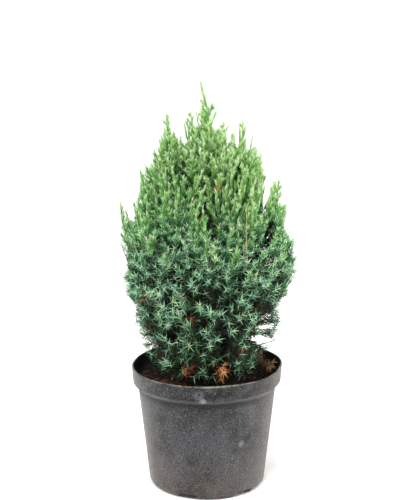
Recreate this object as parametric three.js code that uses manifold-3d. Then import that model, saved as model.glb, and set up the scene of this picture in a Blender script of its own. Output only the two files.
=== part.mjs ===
// A young upright juniper in a plastic nursery pot.
// Millimetres, +Z up, the origin at the middle of the pot's flat underside, -Y towards the viewer.
// A short trunk stands in the potting soil and runs up to the leader. Boughs leave it in tiers, curve
// outwards and then up, and each one carries a mass of foliage: a stem with side stems that all turn
// up, each ending in a spray of needles, round a slim dense core.
import * as THREE from "three";
import { mergeVertices } from "three/addons/utils/BufferGeometryUtils.js";
import Module from "manifold-3d";

const wasm = await Module();
wasm.setup();

// The pot
const POT_HEIGHT = 140;
const RIM_RADIUS = 85;
const FOOT_RADIUS = 66;
const WALL = 1.6;
const RIM_LIP = 2.2;
const RIM_EDGE = 0.8;
const BAND_HEIGHT = 23;
const BAND_STEP = 5.5;
const BAND_CHAMFER = 5;
const BAND_TAPER = 1.2;
const FOOT_ROUND = 7;
const FOOT_RING = 5;
const FOOT_RECESS = 4.5;
const FLOOR_THICK = 2;
const PAD_RADIUS = 20;
const NOTCH_COUNT = 6;
const NOTCH_WIDTH = 22;
const NOTCH_HEIGHT = 5.5;
const NOTCH_TURN = 40;
const DRAIN_RADIUS = 4.5;
const DRAIN_CIRCLE = 45;
const DRAIN_SIDES = 6;
const POT_SEGMENTS = 32;
// The soft rim is a little oval, more so towards the top.
const OVAL = 0.02;
const OVAL_TURN = 45;

// The potting soil
const SOIL_DEPTH = 18;
const SOIL_CROWN = 3;
const SOIL_FLAT_RADIUS = 16;

// Clearance between solids that touch
const GAP = 0.3;

// The trunk
const TIP_HEIGHT = 463;
const TRUNK_TOP = 378;
const TRUNK_RADIUS = 5;
const TRUNK_TIP_RADIUS = 1.5;
const TRUNK_FLARE = 3.5;
const TRUNK_FLARE_HEIGHT = 14;
const TRUNK_SIDES = 8;
const TRUNK_STEPS = 10;
const TRUNK_SWAY = 6;
const LEADER_LEAN = -8;

// The crown's outline: widest at its waist, drawn in towards the soil, and to a blunt top
const CROWN_RADIUS = 104;
const CROWN_WAIST = 262;
const CROWN_TOP = 480;
const CROWN_TOP_POWER = 1.6;
const CROWN_FOOT = 125;
const CROWN_FOOT_RADIUS = 52;
const CROWN_FOOT_POWER = 1.7;

// The tiers of boughs. Each has its count, the bearing of the first, the height where they leave the
// trunk and that of their tips, and how much higher the tips are on the left than on the right. As
// shares of a bough's reach, run and bow say how far out it goes low down and half way up. Its mass
// has so many side stems, the longest of that spread.
const TIERS = [
  {
    name: "skirt", count: 7, turn: 13, leave: 132, tip: 206, tilt: 0,
    run: 0.46, bow: 0.8, stems: 4, spread: 42,
  },
  {
    name: "waist", count: 8, turn: 0, leave: 158, tip: 296, tilt: 28,
    run: 0.7, bow: 0.9, stems: 5, spread: 46,
  },
  {
    name: "upper", count: 6, turn: 0, leave: 200, tip: 354, tilt: 5,
    run: 0.6, bow: 0.92, stems: 5, spread: 44,
  },
  {
    name: "crown", count: 4, turn: 0, leave: 262, tip: 420, tilt: 4,
    run: 0.55, bow: 0.92, stems: 4, spread: 38,
  },
];
const BEARING_PLAY = 9;
const HEIGHT_PLAY = 9;
const LEAVE_STAGGER = 7;
const BOUGH_SHARE = 0.34;
const BOUGH_RADIUS = 2.3;
const BOUGH_END_RADIUS = 1.3;
const BOUGH_SIDES = 4;
const BOUGH_STEPS = 3;
const LEADER_STEMS = 4;
const LEADER_SPREAD = 34;

// The masses of foliage
const SEED = 20261;
const STEM_SIDES = 3;
const SIDE_STEM_RADIUS = 1.1;
const SIDE_STEMS_FROM = 0.05;
const SIDE_STEMS_TO = 0.74;
const SIDE_STEM_SIZES = [1, 0.8, 0.6, 0.4];
const SIDE_STEM_TURNS = 5;
const GOLDEN_TURN = 137.5;
const TURN_PLAY = 40;
const FORK_RADIUS = 0.7;
const FORK_AT = 0.4;
const FORK_SWING = 0.7;
const CORE_RADIUS = 18;
const CORE_SPREAD = 46;
const CORE_END = 0.8;
const CORE_SIDES = 6;
const CORE_STEPS = 4;
const CORE_CLEAR = 1.5;
const SPRAY_LENGTH = 32;
const SPRAY_RADIUS = 6.6;
const CLEAR_OF_NEIGHBOUR = 0.7;
const CLEAR_OF_LIMB = 0.6;
const CLEAR_OF_POT = 2;

const UP = new THREE.Vector3(0, 0, 1);
const radians = THREE.MathUtils.degToRad;
const mix = THREE.MathUtils.lerp;

// A repeatable number from 0 to 1 for each set of whole numbers, so that a twig always grows the same.
function chance(...keys) {
  let mixed = SEED;
  for (const key of keys) {
    mixed = Math.imul(mixed ^ key, 0x9e3779b1);
    mixed ^= mixed >>> 15;
    mixed = Math.imul(mixed, 0x85ebca6b);
    mixed ^= mixed >>> 13;
  }
  return (mixed >>> 0) / 4294967296;
}

// Solids and geometries

function solidOf(geometry) {
  const bare = geometry.clone();
  bare.deleteAttribute("normal");
  bare.deleteAttribute("uv");
  const merged = mergeVertices(bare, 1e-4);
  const corners = merged.index.array;
  const kept = [];
  for (let i = 0; i < corners.length; i += 3) {
    const [a, b, c] = [corners[i], corners[i + 1], corners[i + 2]];
    if (a !== b && b !== c && c !== a) kept.push(a, b, c);
  }
  const vertProperties = new Float32Array(merged.getAttribute("position").array);
  return new wasm.Manifold(new wasm.Mesh({ numProp: 3, vertProperties, triVerts: new Uint32Array(kept) }));
}

function geometryOf(solid) {
  const { vertProperties, triVerts } = solid.getMesh();
  const geometry = new THREE.BufferGeometry();
  geometry.setAttribute("position", new THREE.BufferAttribute(vertProperties, 3));
  geometry.setIndex(new THREE.BufferAttribute(triVerts, 1));
  geometry.computeVertexNormals();
  return geometry;
}

function joined(solids) {
  return solids.reduce((whole, solid) => whole.add(solid));
}

// Evenly spaced rings, [share of the length, radius], whose radius is a function of that share
function evenRings(steps, radiusAt) {
  return Array.from({ length: steps + 1 }, (_, i) => [i / steps, radiusAt(i / steps)]);
}

// A bar bent along a curve, through rings. Where a settle function is given, it may move each corner.
function barAlong(curve, rings, sides, settle = () => {}) {
  const steps = rings.length - 1;
  const frameSteps = 40;
  const bar = new THREE.CylinderGeometry(1, 1, 1, sides, steps);
  const frames = curve.computeFrenetFrames(frameSteps, false);
  const place = bar.getAttribute("position");
  for (let i = 0; i < place.count; i++) {
    const [share, radius] = rings[Math.round((place.getY(i) + 0.5) * steps)];
    const frame = Math.round(share * frameSteps);
    const middle = curve.getPointAt(share);
    const point = middle
      .clone()
      .addScaledVector(frames.binormals[frame], place.getX(i) * radius)
      .addScaledVector(frames.normals[frame], place.getZ(i) * radius);
    settle(point, middle);
    place.setXYZ(i, point.x, point.y, point.z);
  }
  return bar;
}

// A profile of [radius, height] points turned about the vertical axis
function turned(profile) {
  const points = profile.map(([radius, height]) => new THREE.Vector2(radius, height));
  return new THREE.LatheGeometry(points, POT_SEGMENTS).rotateX(Math.PI / 2);
}

// The pot is round at its foot and drawn out to an oval towards its rim.
function drawnOval(geometry) {
  const place = geometry.getAttribute("position");
  for (let i = 0; i < place.count; i++) {
    const bearing = Math.atan2(place.getY(i), place.getX(i));
    const stretch = 1 + OVAL * (place.getZ(i) / POT_HEIGHT) * Math.cos(2 * (bearing - radians(OVAL_TURN)));
    place.setXY(i, place.getX(i) * stretch, place.getY(i) * stretch);
  }
  return geometry;
}

// The pot

const BAND_FOOT = POT_HEIGHT - BAND_HEIGHT;
const BAND_FOOT_RADIUS = RIM_RADIUS - BAND_TAPER;
const WALL_TOP_RADIUS = BAND_FOOT_RADIUS - BAND_STEP;
const FLOOR_TOP = FOOT_RECESS + FLOOR_THICK;
const FOOT_EDGE = FOOT_RADIUS - FOOT_ROUND;
const SOIL_EDGE = POT_HEIGHT - SOIL_DEPTH;
const SOIL_TOP = SOIL_EDGE + SOIL_CROWN;

function wallRadius(height) {
  return mix(FOOT_RADIUS, WALL_TOP_RADIUS, height / BAND_FOOT);
}

function potProfile() {
  const footArc = [0, 30, 60, 90].map((turn) => [
    FOOT_EDGE + FOOT_ROUND * Math.sin(radians(turn)),
    FOOT_ROUND * (1 - Math.cos(radians(turn))),
  ]);
  return [
    [0, 0],
    [PAD_RADIUS, 0],
    [PAD_RADIUS, FOOT_RECESS],
    [FOOT_EDGE - FOOT_RING, FOOT_RECESS],
    [FOOT_EDGE - FOOT_RING, 0],
    ...footArc,
    [WALL_TOP_RADIUS, BAND_FOOT],
    [BAND_FOOT_RADIUS, BAND_FOOT + BAND_CHAMFER],
    [RIM_RADIUS, POT_HEIGHT - RIM_EDGE],
    [RIM_RADIUS - RIM_EDGE, POT_HEIGHT],
    [RIM_RADIUS - RIM_LIP, POT_HEIGHT],
    [BAND_FOOT_RADIUS - WALL, BAND_FOOT + BAND_CHAMFER + WALL],
    [WALL_TOP_RADIUS - WALL, BAND_FOOT + WALL],
    [wallRadius(FOOT_ROUND + FLOOR_TOP) - WALL, FOOT_ROUND + FLOOR_TOP],
    [FOOT_EDGE, FLOOR_TOP],
    [0, FLOOR_TOP],
  ];
}

// Notches through the foot ring, and a drain hole inside each
function potSolid() {
  let solid = solidOf(drawnOval(turned(potProfile())));
  for (let i = 0; i < NOTCH_COUNT; i++) {
    const bearing = radians(NOTCH_TURN - 90 + (360 / NOTCH_COUNT) * i);
    const notch = new THREE.BoxGeometry(FOOT_RING + 2 * FOOT_ROUND, NOTCH_WIDTH, 2 * NOTCH_HEIGHT);
    notch.translate(FOOT_RADIUS - FOOT_RING / 2, 0, 0);
    notch.rotateZ(bearing);
    const drain = new THREE.CylinderGeometry(DRAIN_RADIUS, DRAIN_RADIUS, 4 * FLOOR_TOP, DRAIN_SIDES);
    drain.rotateX(Math.PI / 2);
    drain.translate(DRAIN_CIRCLE, 0, 0);
    drain.rotateZ(bearing);
    solid = solid.subtract(solidOf(notch)).subtract(solidOf(drain));
  }
  return solid;
}

// The potting soil fills the pot up to the slope inside its band, with a low rise round the trunk.
function soilSolid() {
  const side = WALL + GAP;
  const slope = BAND_STEP / BAND_CHAMFER;
  const brim = WALL_TOP_RADIUS - WALL - 2 * GAP + slope * (SOIL_EDGE - BAND_FOOT - WALL);
  const profile = [
    [0, FLOOR_TOP + GAP],
    [FOOT_EDGE - side, FLOOR_TOP + GAP],
    [wallRadius(FOOT_ROUND + FLOOR_TOP) - side, FOOT_ROUND + FLOOR_TOP + GAP],
    [WALL_TOP_RADIUS - side, BAND_FOOT + WALL + GAP],
    [brim, SOIL_EDGE],
    [0.6 * FOOT_RADIUS, mix(SOIL_EDGE, SOIL_TOP, 0.6)],
    [SOIL_FLAT_RADIUS, SOIL_TOP],
    [0, SOIL_TOP],
  ];
  return solidOf(drawnOval(turned(profile)));
}

// The trunk, from a flat cut level with the soil to its tip inside the leader's foliage

const TRUNK_FOOT = SOIL_TOP + GAP;
const trunkCurve = new THREE.CatmullRomCurve3([
  new THREE.Vector3(0, 0, TRUNK_FOOT),
  new THREE.Vector3(0.2 * TRUNK_SWAY, -0.2 * TRUNK_SWAY, mix(TRUNK_FOOT, TRUNK_TOP, 0.33)),
  new THREE.Vector3(TRUNK_SWAY, 0, mix(TRUNK_FOOT, TRUNK_TOP, 0.67)),
  new THREE.Vector3(TRUNK_SWAY, 0.2 * TRUNK_SWAY, TRUNK_TOP),
]);

function trunkShare(height) {
  return THREE.MathUtils.clamp((height - TRUNK_FOOT) / (TRUNK_TOP - TRUNK_FOOT), 0, 1);
}

function trunkRadius(share) {
  const flare = Math.max(0, 1 - (share * (TRUNK_TOP - TRUNK_FOOT)) / TRUNK_FLARE_HEIGHT);
  return mix(TRUNK_RADIUS, TRUNK_TIP_RADIUS, share) + TRUNK_FLARE * flare * flare;
}

function trunkSolid(extra = 0) {
  const rings = evenRings(TRUNK_STEPS, (share) => trunkRadius(share) + extra);
  const bar = barAlong(trunkCurve, rings, TRUNK_SIDES);
  const place = bar.getAttribute("position");
  for (let i = 0; i < place.count; i++) {
    if (trunkShare(place.getZ(i)) < 0.5 / TRUNK_STEPS) place.setZ(i, TRUNK_FOOT - extra);
  }
  return solidOf(bar);
}

// The crown's outline

function crownRadius(height) {
  if (height > CROWN_WAIST) {
    const up = Math.min(1, (height - CROWN_WAIST) / (CROWN_TOP - CROWN_WAIST));
    return CROWN_RADIUS * (1 - up ** CROWN_TOP_POWER);
  }
  const down = Math.min(1, (CROWN_WAIST - height) / (CROWN_WAIST - CROWN_FOOT));
  return mix(CROWN_RADIUS, CROWN_FOOT_RADIUS, down ** CROWN_FOOT_POWER);
}

function crownMiddle(height) {
  return LEADER_LEAN * THREE.MathUtils.clamp((height - TRUNK_TOP) / (TIP_HEIGHT - TRUNK_TOP), 0, 1);
}

// The limbs. Each has a curve from the trunk to its tip, of which the bough is the first part and the
// stem of its mass the rest. The leader is all stem.

function stretchOf(curve, from, to) {
  const steps = 8;
  const points = Array.from({ length: steps + 1 }, (_, i) => curve.getPointAt(mix(from, to, i / steps)));
  return new THREE.CatmullRomCurve3(points);
}

function tierLimb(tier, row, i) {
  const play = (draw) => 2 * chance(row, i, draw) - 1;
  const bearing = radians(tier.turn + (360 / tier.count) * i + BEARING_PLAY * play(1));
  const out = new THREE.Vector3(Math.cos(bearing), Math.sin(bearing), 0);
  const tip = tier.tip - tier.tilt * Math.cos(bearing) + HEIGHT_PLAY * play(2);
  const reach = crownRadius(tip);
  const root = trunkCurve.getPointAt(trunkShare(tier.leave + LEAVE_STAGGER * (i % 2)));
  const rise = tip - root.z;
  const curve = new THREE.CubicBezierCurve3(
    root,
    root.clone().addScaledVector(out, tier.run * reach).setZ(root.z + 0.12 * rise),
    new THREE.Vector3(0, 0, root.z + 0.5 * rise).addScaledVector(out, tier.bow * reach),
    new THREE.Vector3(0, 0, tip).addScaledVector(out, reach),
  );
  return {
    name: `${tier.name}_${i + 1}`,
    key: 100 * row + i,
    out,
    bough: stretchOf(curve, 0, BOUGH_SHARE),
    stem: stretchOf(curve, BOUGH_SHARE + GAP / curve.getLength(), 1),
    stemRadius: BOUGH_END_RADIUS,
    stems: tier.stems,
    spread: tier.spread,
  };
}

function leaderLimb() {
  const base = trunkCurve.getPointAt(1);
  const curve = new THREE.CubicBezierCurve3(
    base.clone().setZ(base.z + GAP),
    base.clone().setZ(mix(base.z, TIP_HEIGHT, 0.4)),
    new THREE.Vector3(0.3 * LEADER_LEAN, 0, mix(base.z, TIP_HEIGHT, 0.7)),
    new THREE.Vector3(LEADER_LEAN, 0, TIP_HEIGHT),
  );
  return {
    name: "leader",
    key: 100 * TIERS.length,
    out: new THREE.Vector3(1, 0, 0),
    bough: null,
    stem: stretchOf(curve, 0, 1),
    stemRadius: TRUNK_TIP_RADIUS,
    stems: LEADER_STEMS,
    spread: LEADER_SPREAD,
  };
}

const limbs = TIERS.flatMap((tier, row) =>
  Array.from({ length: tier.count }, (_, i) => tierLimb(tier, row, i)),
);
limbs.push(leaderLimb());

function boughSolid(limb) {
  const rings = evenRings(BOUGH_STEPS, (share) => mix(BOUGH_RADIUS, BOUGH_END_RADIUS, share));
  return solidOf(barAlong(limb.bough, rings, BOUGH_SIDES)).subtract(trunkSolid(GAP));
}

// The space of each mass is what lies inside the crown's outline and nearer to its stem than to any
// other, clear of the trunk, the boughs, the soil and the pot.

const stemLines = limbs.map((limb) => limb.stem.getSpacedPoints(10));
const boughLines = limbs.filter((limb) => limb.bough).map((limb) => limb.bough.getSpacedPoints(6));
const trunkLine = trunkCurve.getSpacedPoints(TRUNK_STEPS);

function distanceToLine(point, line) {
  const closest = new THREE.Vector3();
  const segment = new THREE.Line3();
  let best = Infinity;
  for (let i = 0; i + 1 < line.length; i++) {
    segment.set(line[i], line[i + 1]).closestPointToPoint(point, true, closest);
    best = Math.min(best, closest.distanceTo(point));
  }
  return best;
}

function isFree(point, index, margin = 0) {
  const across = Math.hypot(point.x - crownMiddle(point.z), point.y);
  if (across > crownRadius(point.z) || point.z > TIP_HEIGHT) return false;
  if (point.z < SOIL_TOP + CLEAR_OF_POT + margin) return false;
  const rimClear = WALL_TOP_RADIUS - 2 * CLEAR_OF_POT - margin;
  if (point.z < POT_HEIGHT + CLEAR_OF_POT + margin && across > rimClear) return false;
  const barkClear = trunkRadius(trunkShare(point.z)) + CLEAR_OF_LIMB + margin;
  if (limbs[index].bough && distanceToLine(point, trunkLine) < barkClear) return false;
  const boughClear = BOUGH_RADIUS + CLEAR_OF_LIMB + margin;
  if (boughLines.some((line) => distanceToLine(point, line) < boughClear)) return false;
  const own = distanceToLine(point, stemLines[index]) + CLEAR_OF_NEIGHBOUR + margin;
  return stemLines.every((line, i) => i === index || distanceToLine(point, line) > own);
}

function fits(geometry, index) {
  const place = geometry.getAttribute("position");
  const point = new THREE.Vector3();
  for (let i = 0; i < place.count; i++) {
    if (!isFree(point.fromBufferAttribute(place, i), index)) return false;
  }
  return true;
}

// A stem that ends in a spray: a slim core with whorls of needles that point forwards
function leafyStem(curve, stemRadius, sprayLength, size) {
  const at = (share) => 1 - ((1 - share) * sprayLength) / curve.getLength();
  const radius = SPRAY_RADIUS * size;
  const rings = [
    [0, stemRadius],
    [at(0.34), radius],
    [at(0.4), 0.5 * radius],
    [at(0.7), 0.74 * radius],
    [1, 0],
  ];
  return barAlong(curve, rings, STEM_SIDES);
}

// A side stem leaves the stem in a spiral, spreads, and turns up.
function sideStemCurve(limb, i, attempt, size) {
  const share = mix(SIDE_STEMS_FROM, SIDE_STEMS_TO, i / (limb.stems - 1));
  const root = limb.stem.getPointAt(share);
  const along = limb.stem.getTangentAt(share);
  const sideways = limb.out.clone().addScaledVector(along, -limb.out.dot(along)).normalize();
  const turn = GOLDEN_TURN * i + (360 / SIDE_STEM_TURNS) * attempt + TURN_PLAY * chance(limb.key, i);
  const away = sideways.applyAxisAngle(along, radians(turn));
  const length = limb.spread * mix(1, 0.55, share) * size;
  const lift = along.clone().lerp(UP, 0.5).setLength(0.6 * length + 0.9 * SPRAY_LENGTH);
  return new THREE.QuadraticBezierCurve3(
    root,
    root.clone().addScaledVector(away, 0.6 * length).addScaledVector(along, 0.1 * length),
    root.clone().addScaledVector(away, 0.8 * length).add(lift),
  );
}

function leafySideStem(curve) {
  return leafyStem(curve, SIDE_STEM_RADIUS, SPRAY_LENGTH, 0.95);
}

// The longest side stem that fits the space, in the first direction that has room for it
function roomiestSideStem(limb, index, i) {
  for (const size of SIDE_STEM_SIZES) {
    for (let attempt = 0; attempt < SIDE_STEM_TURNS; attempt++) {
      const curve = sideStemCurve(limb, i, attempt, size);
      if (fits(leafySideStem(curve), index)) return curve;
    }
  }
  return null;
}

// A fork leaves a side stem part way up, to one side or the other.
function leafyFork(limb, sideStem, side) {
  const root = sideStem.getPointAt(FORK_AT);
  const lean = sideStem.getTangentAt(FORK_AT).lerp(UP, 0.5);
  const swing = new THREE.Vector3().crossVectors(lean, limb.out).multiplyScalar(FORK_SWING * side);
  const tip = lean.add(swing).setLength(1.1 * SPRAY_LENGTH).add(root);
  return leafyStem(new THREE.LineCurve3(root, tip), FORK_RADIUS, SPRAY_LENGTH, 0.85);
}

// The core is a spindle round the stem, drawn in wherever it would leave the space.
function coreBar(limb, index) {
  const widest = (CORE_RADIUS * limb.spread) / CORE_SPREAD;
  const rings = evenRings(CORE_STEPS, (share) => 0.8 + widest * Math.sin(Math.PI * share ** 0.8) ** 0.8);
  return barAlong(stretchOf(limb.stem, 0.03, CORE_END), rings, CORE_SIDES, (point, middle) => {
    for (let pull = 0; pull < 12 && !isFree(point, index, CORE_CLEAR); pull++) point.lerp(middle, 0.15);
  });
}

function massSolid(limb, index) {
  const parts = [leafyStem(limb.stem, limb.stemRadius, 1.3 * SPRAY_LENGTH, 1), coreBar(limb, index)];
  for (let i = 0; i < limb.stems; i++) {
    const curve = roomiestSideStem(limb, index, i);
    if (!curve) continue;
    parts.push(leafySideStem(curve));
    const forks = [1, -1].map((side) => leafyFork(limb, curve, side));
    const fork = forks.find((candidate) => fits(candidate, index));
    if (fork) parts.push(fork);
  }
  return joined(parts.map(solidOf));
}

// The plant in its pot

const plastic = new THREE.MeshStandardMaterial({ color: 0x55565a, roughness: 0.62, metalness: 0 });
const soil = new THREE.MeshStandardMaterial({ color: 0x2b1c14, roughness: 0.95, metalness: 0 });
const bark = new THREE.MeshStandardMaterial({ color: 0x6b4430, roughness: 0.85, metalness: 0 });
const lowNeedles = new THREE.MeshStandardMaterial({ color: 0x5f8f6f, roughness: 0.6, metalness: 0 });
const highNeedles = new THREE.MeshStandardMaterial({ color: 0x76a55c, roughness: 0.6, metalness: 0 });

const plant = new THREE.Group();

function add(name, solid, material) {
  const mesh = new THREE.Mesh(geometryOf(solid), material);
  mesh.name = name;
  plant.add(mesh);
}

add("pot", potSolid(), plastic);
add("soil", soilSolid(), soil);
add("trunk", trunkSolid(), bark);
for (const [index, limb] of limbs.entries()) {
  if (limb.bough) add(`bough_${limb.name}`, boughSolid(limb), bark);
  const isHigh = limb.stem.getPointAt(1).z > TIERS[1].tip + TIERS[1].tilt;
  add(`foliage_${limb.name}`, massSolid(limb, index), isHigh ? highNeedles : lowNeedles);
}

export default plant;
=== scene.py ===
# A young upright juniper in a plastic nursery pot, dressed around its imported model.
# Shapes are worked out in millimetres, in the model's own frame, and become metres in new_piece().
# The boughs, twigs and needles grow by the same rule as the model's own solids, carried to finer shoots.
import math

import bpy
import numpy as np
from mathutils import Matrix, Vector
from mathutils.kdtree import KDTree


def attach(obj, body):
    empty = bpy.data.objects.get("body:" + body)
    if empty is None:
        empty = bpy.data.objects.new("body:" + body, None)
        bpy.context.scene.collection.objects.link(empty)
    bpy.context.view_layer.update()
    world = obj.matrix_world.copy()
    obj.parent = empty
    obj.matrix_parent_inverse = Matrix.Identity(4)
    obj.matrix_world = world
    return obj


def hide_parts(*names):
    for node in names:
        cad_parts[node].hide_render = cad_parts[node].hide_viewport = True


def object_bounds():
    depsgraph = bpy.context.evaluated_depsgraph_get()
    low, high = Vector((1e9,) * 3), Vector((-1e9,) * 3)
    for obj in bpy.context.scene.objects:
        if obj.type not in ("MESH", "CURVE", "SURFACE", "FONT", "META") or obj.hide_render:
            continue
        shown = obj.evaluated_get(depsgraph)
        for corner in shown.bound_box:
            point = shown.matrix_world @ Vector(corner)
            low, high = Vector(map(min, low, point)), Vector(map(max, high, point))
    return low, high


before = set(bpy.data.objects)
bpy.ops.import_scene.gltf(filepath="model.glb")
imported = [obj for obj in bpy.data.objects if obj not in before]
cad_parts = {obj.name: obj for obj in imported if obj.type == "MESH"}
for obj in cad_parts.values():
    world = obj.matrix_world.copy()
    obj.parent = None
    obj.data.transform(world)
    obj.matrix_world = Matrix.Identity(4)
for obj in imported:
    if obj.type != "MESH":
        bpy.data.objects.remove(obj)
cad_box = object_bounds()

MM = 0.001
UP = np.array([0.0, 0.0, 1.0])

# The picture
PHOTO_WIDTH = 400
PHOTO_HEIGHT = 500
FOCAL_PIXELS = 1568
SENSOR = 36.0
CAMERA_PLACE = (-0.008, -1.70, 0.694)
CAMERA_PITCH = 0.243

# The pot
POT_HEIGHT = 140.0
RIM_RADIUS = 85.0
FOOT_RADIUS = 66.0
WALL = 1.6
LIP = 1.1
BEAD = 0.9
BAND_HEIGHT = 23.0
BAND_STEP = 5.5
BAND_CHAMFER = 5.0
BAND_TAPER = 1.2
FOOT_ROUND = 7.0
FOOT_RING = 5.0
FOOT_RECESS = 4.5
FLOOR_THICK = 2.0
PAD_RADIUS = 20.0
NOTCH_COUNT = 6
NOTCH_WIDTH = 22.0
NOTCH_HEIGHT = 5.5
NOTCH_TURN = 40.0
DRAIN_RADIUS = 4.5
DRAIN_CIRCLE = 45.0
OVAL = 0.02
OVAL_TURN = 45.0
POT_GRAIN = 860
BAND_FOOT = POT_HEIGHT - BAND_HEIGHT
BAND_FOOT_RADIUS = RIM_RADIUS - BAND_TAPER
WALL_TOP_RADIUS = BAND_FOOT_RADIUS - BAND_STEP
FLOOR_TOP = FOOT_RECESS + FLOOR_THICK
FOOT_EDGE = FOOT_RADIUS - FOOT_ROUND

# The potting soil
SOIL_DEPTH = 18.0
SOIL_CROWN = 3.0
SOIL_EDGE = POT_HEIGHT - SOIL_DEPTH
SOIL_TOP = SOIL_EDGE + SOIL_CROWN
GAP = 0.3

# Loose pieces on the soil, and the side where most fibres lie: its bearing and its spread
CRUMBS = 1500
FIBRES = dict(count=420, length=13, width=1.1)
BARK_BITS = dict(count=170, length=8, width=3.2)
FIBRE_SIDE = (232, 28)

# The trunk
TIP_HEIGHT = 463.0
TRUNK_TOP = 378.0
TRUNK_RADIUS = 5.0
TRUNK_TIP_RADIUS = 1.5
TRUNK_FLARE = 3.5
TRUNK_FLARE_HEIGHT = 14.0
TRUNK_SWAY = 6.0
TRUNK_FOOT = SOIL_TOP + GAP
LEADER_LEAN = -8.0

# The crown's outline
CROWN_RADIUS = 104.0
CROWN_WAIST = 262.0
CROWN_TOP = 480.0
CROWN_TOP_POWER = 1.6
CROWN_FOOT = 125.0
CROWN_FOOT_RADIUS = 52.0
CROWN_FOOT_POWER = 1.7

# The tiers of boughs, as in the model's source
TIERS = [
    dict(name="skirt", count=7, turn=13, leave=132, tip=206, tilt=0, run=0.46, bow=0.8, stems=4, spread=42),
    dict(name="waist", count=8, turn=0, leave=158, tip=296, tilt=28, run=0.7, bow=0.9, stems=5, spread=46),
    dict(name="upper", count=6, turn=0, leave=200, tip=354, tilt=5, run=0.6, bow=0.92, stems=5, spread=44),
    dict(name="crown", count=4, turn=0, leave=262, tip=420, tilt=4, run=0.55, bow=0.92, stems=4, spread=38),
]
BEARING_PLAY = 9.0
HEIGHT_PLAY = 9.0
LEAVE_STAGGER = 7.0
BOUGH_SHARE = 0.34
BOUGH_RADIUS = 2.3
BOUGH_END_RADIUS = 1.3
LEADER_STEMS = 4
LEADER_SPREAD = 34.0

# The twigs
SEED = 20261
SIDE_STEM_RADIUS = 1.0
SIDE_STEM_TIP = 0.3
SIDE_STEMS_FROM = 0.05
SIDE_STEMS_TO = 0.74
SIDE_STEM_SIZES = [1.0, 0.8, 0.6, 0.4]
SIDE_STEM_TURNS = 5
GOLDEN_TURN = 137.5
TURN_PLAY = 40.0
SPRAY_LENGTH = 32.0
CLEAR_OF_NEIGHBOUR = 0.7
CLEAR_OF_LIMB = 0.6
CLEAR_OF_POT = 2.0

# How far the masses' stems keep back from the outline, and the heights between which they do
STEM_INSET = 9.0
INSET_HEIGHTS = [150, 175, 262, 285]

# Where the picture shows the tips of limbs, in its pixels
TIPS_IN_PICTURE = dict(crown_1=(243, 122), crown_2=(191, 113), crown_3=(166, 115), waist_5=(120.5, 203))

# Low stems on the right, which keep clear of the gaps there
STEMS_IN_PICTURE = dict(
    skirt_1=[(243, 342), (247, 331), (257, 322.5), (279, 318)],
    skirt_7=[(240, 351), (243, 337), (247, 324), (260, 309)],
    waist_1=[(251, 324), (256, 309), (272, 292), (285, 278), (292, 260)],
)

# Side stems: finer ones between the model's own, their bare share, and the room that they need along them
FINER = 4
FINER_SIZES = [0.85, 0.65, 0.45, 0.3]
EXTRA_SIDE_STEMS = 3
SIDE_STEM_BARE = 0.22
SIDE_STEM_TESTS = [(0.4, 2.5), (0.6, 2.5), (0.8, 2.0), (1.0, 0.5)]
SIDE_STEM_MINGLE = 2.5
RAGGED_STEMS = 16.0

# Spears, the upright stems at the crown's upper surface. Pairs are high and low in the crown.
SPEAR_COUNT = 270
SPEARS_TOP, SPEARS_FOOT = 432.0, 282.0
SPEAR_LENGTH = 70.0
SPEAR_SEAT_REACH = 75.0
SPEAR_BARE = 0.3
SPEAR_MINGLE = 200.0
SPEAR_INSET = 2.0
SPEAR_DEPTHS = (20, 14)
SPEAR_HEIGHT_PLAY = 8.0
SPEAR_TURN_PLAY = 25.0
# The numbers that key the chances of a spear's height, depth and bearing
SPEAR_DRAWS = (901, 902, 903)
# By tier: how far shoots stand out at the tips, and how far and how steeply spears lead
TIP_STANDS_PROUD = dict(skirt=0, waist=3, upper=5, crown=6, leader=6)
SPEAR_LEADS = dict(skirt=(-12, 0.2), waist=(-10, 0.25), upper=(0, 0.3), crown=(10, 0.7), leader=(18, 0.9))
SLENDER_ABOVE = 430.0

# How growth turns out and up with its height
LOW_GROWTH, HIGH_GROWTH = 165.0, 320.0
GROWTH_HEIGHTS = [126, 165, 215, 320, 430]
GROWTH_RISES = [-0.6, -0.1, 0.45, 1.5, 1.5]
GROWTH_SPREADS = [1.0, 1.0, 0.85, 0.6, 0.2]

# The habits of the forks, of the small shoots on them, of the shoots on sprays that fill gaps, and of the
# inner growth. Pairs are the values low and high in the crown.
FORKS = dict(spacing=(6.5, 5.0), first=0.1, last=0.93, longest=(25, 18), shortest=4.0, taper=0.6,
             lean=(52, 33), pull=(0.5, 0.12), radii=(0.5, 0.25), bare=0.05, mingle=8.0, ragged=9.0)
SHOOTS = dict(spacing=(11.0, 5.5), first=0.2, last=0.72, longest=(13, 9), shortest=3.0, taper=0.5,
              lean=(48, 33), pull=(0.2, 0.12), radii=(0.32, 0.18), bare=0.0, mingle=8.0, ragged=3.0)
STARS = dict(spacing=(3.4, 4.6), first=0.45, last=0.96, longest=(10, 9), shortest=4.0, taper=0.5,
             lean=(60, 30), pull=(0.15, 0.2), radii=(0.32, 0.18), bare=0.0, mingle=200.0, ragged=0.0)
INNER = dict(spacing=(3.2, 3.4), first=0.0, last=0.7, longest=(22, 16), shortest=8.0, taper=0.5,
             lean=(66, 60), pull=(0, 0), radii=(0.5, 0.3), bare=0.0, mingle=200.0, ragged=0.0)
SHOOT_SIZES = (1.0, 0.65, 0.4)
SHOOT_TURNS_UP = 0.45
SHOOT_PLAY = dict(length=(0.7, 1.15), lean=6.0, turn=30.0)

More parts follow.
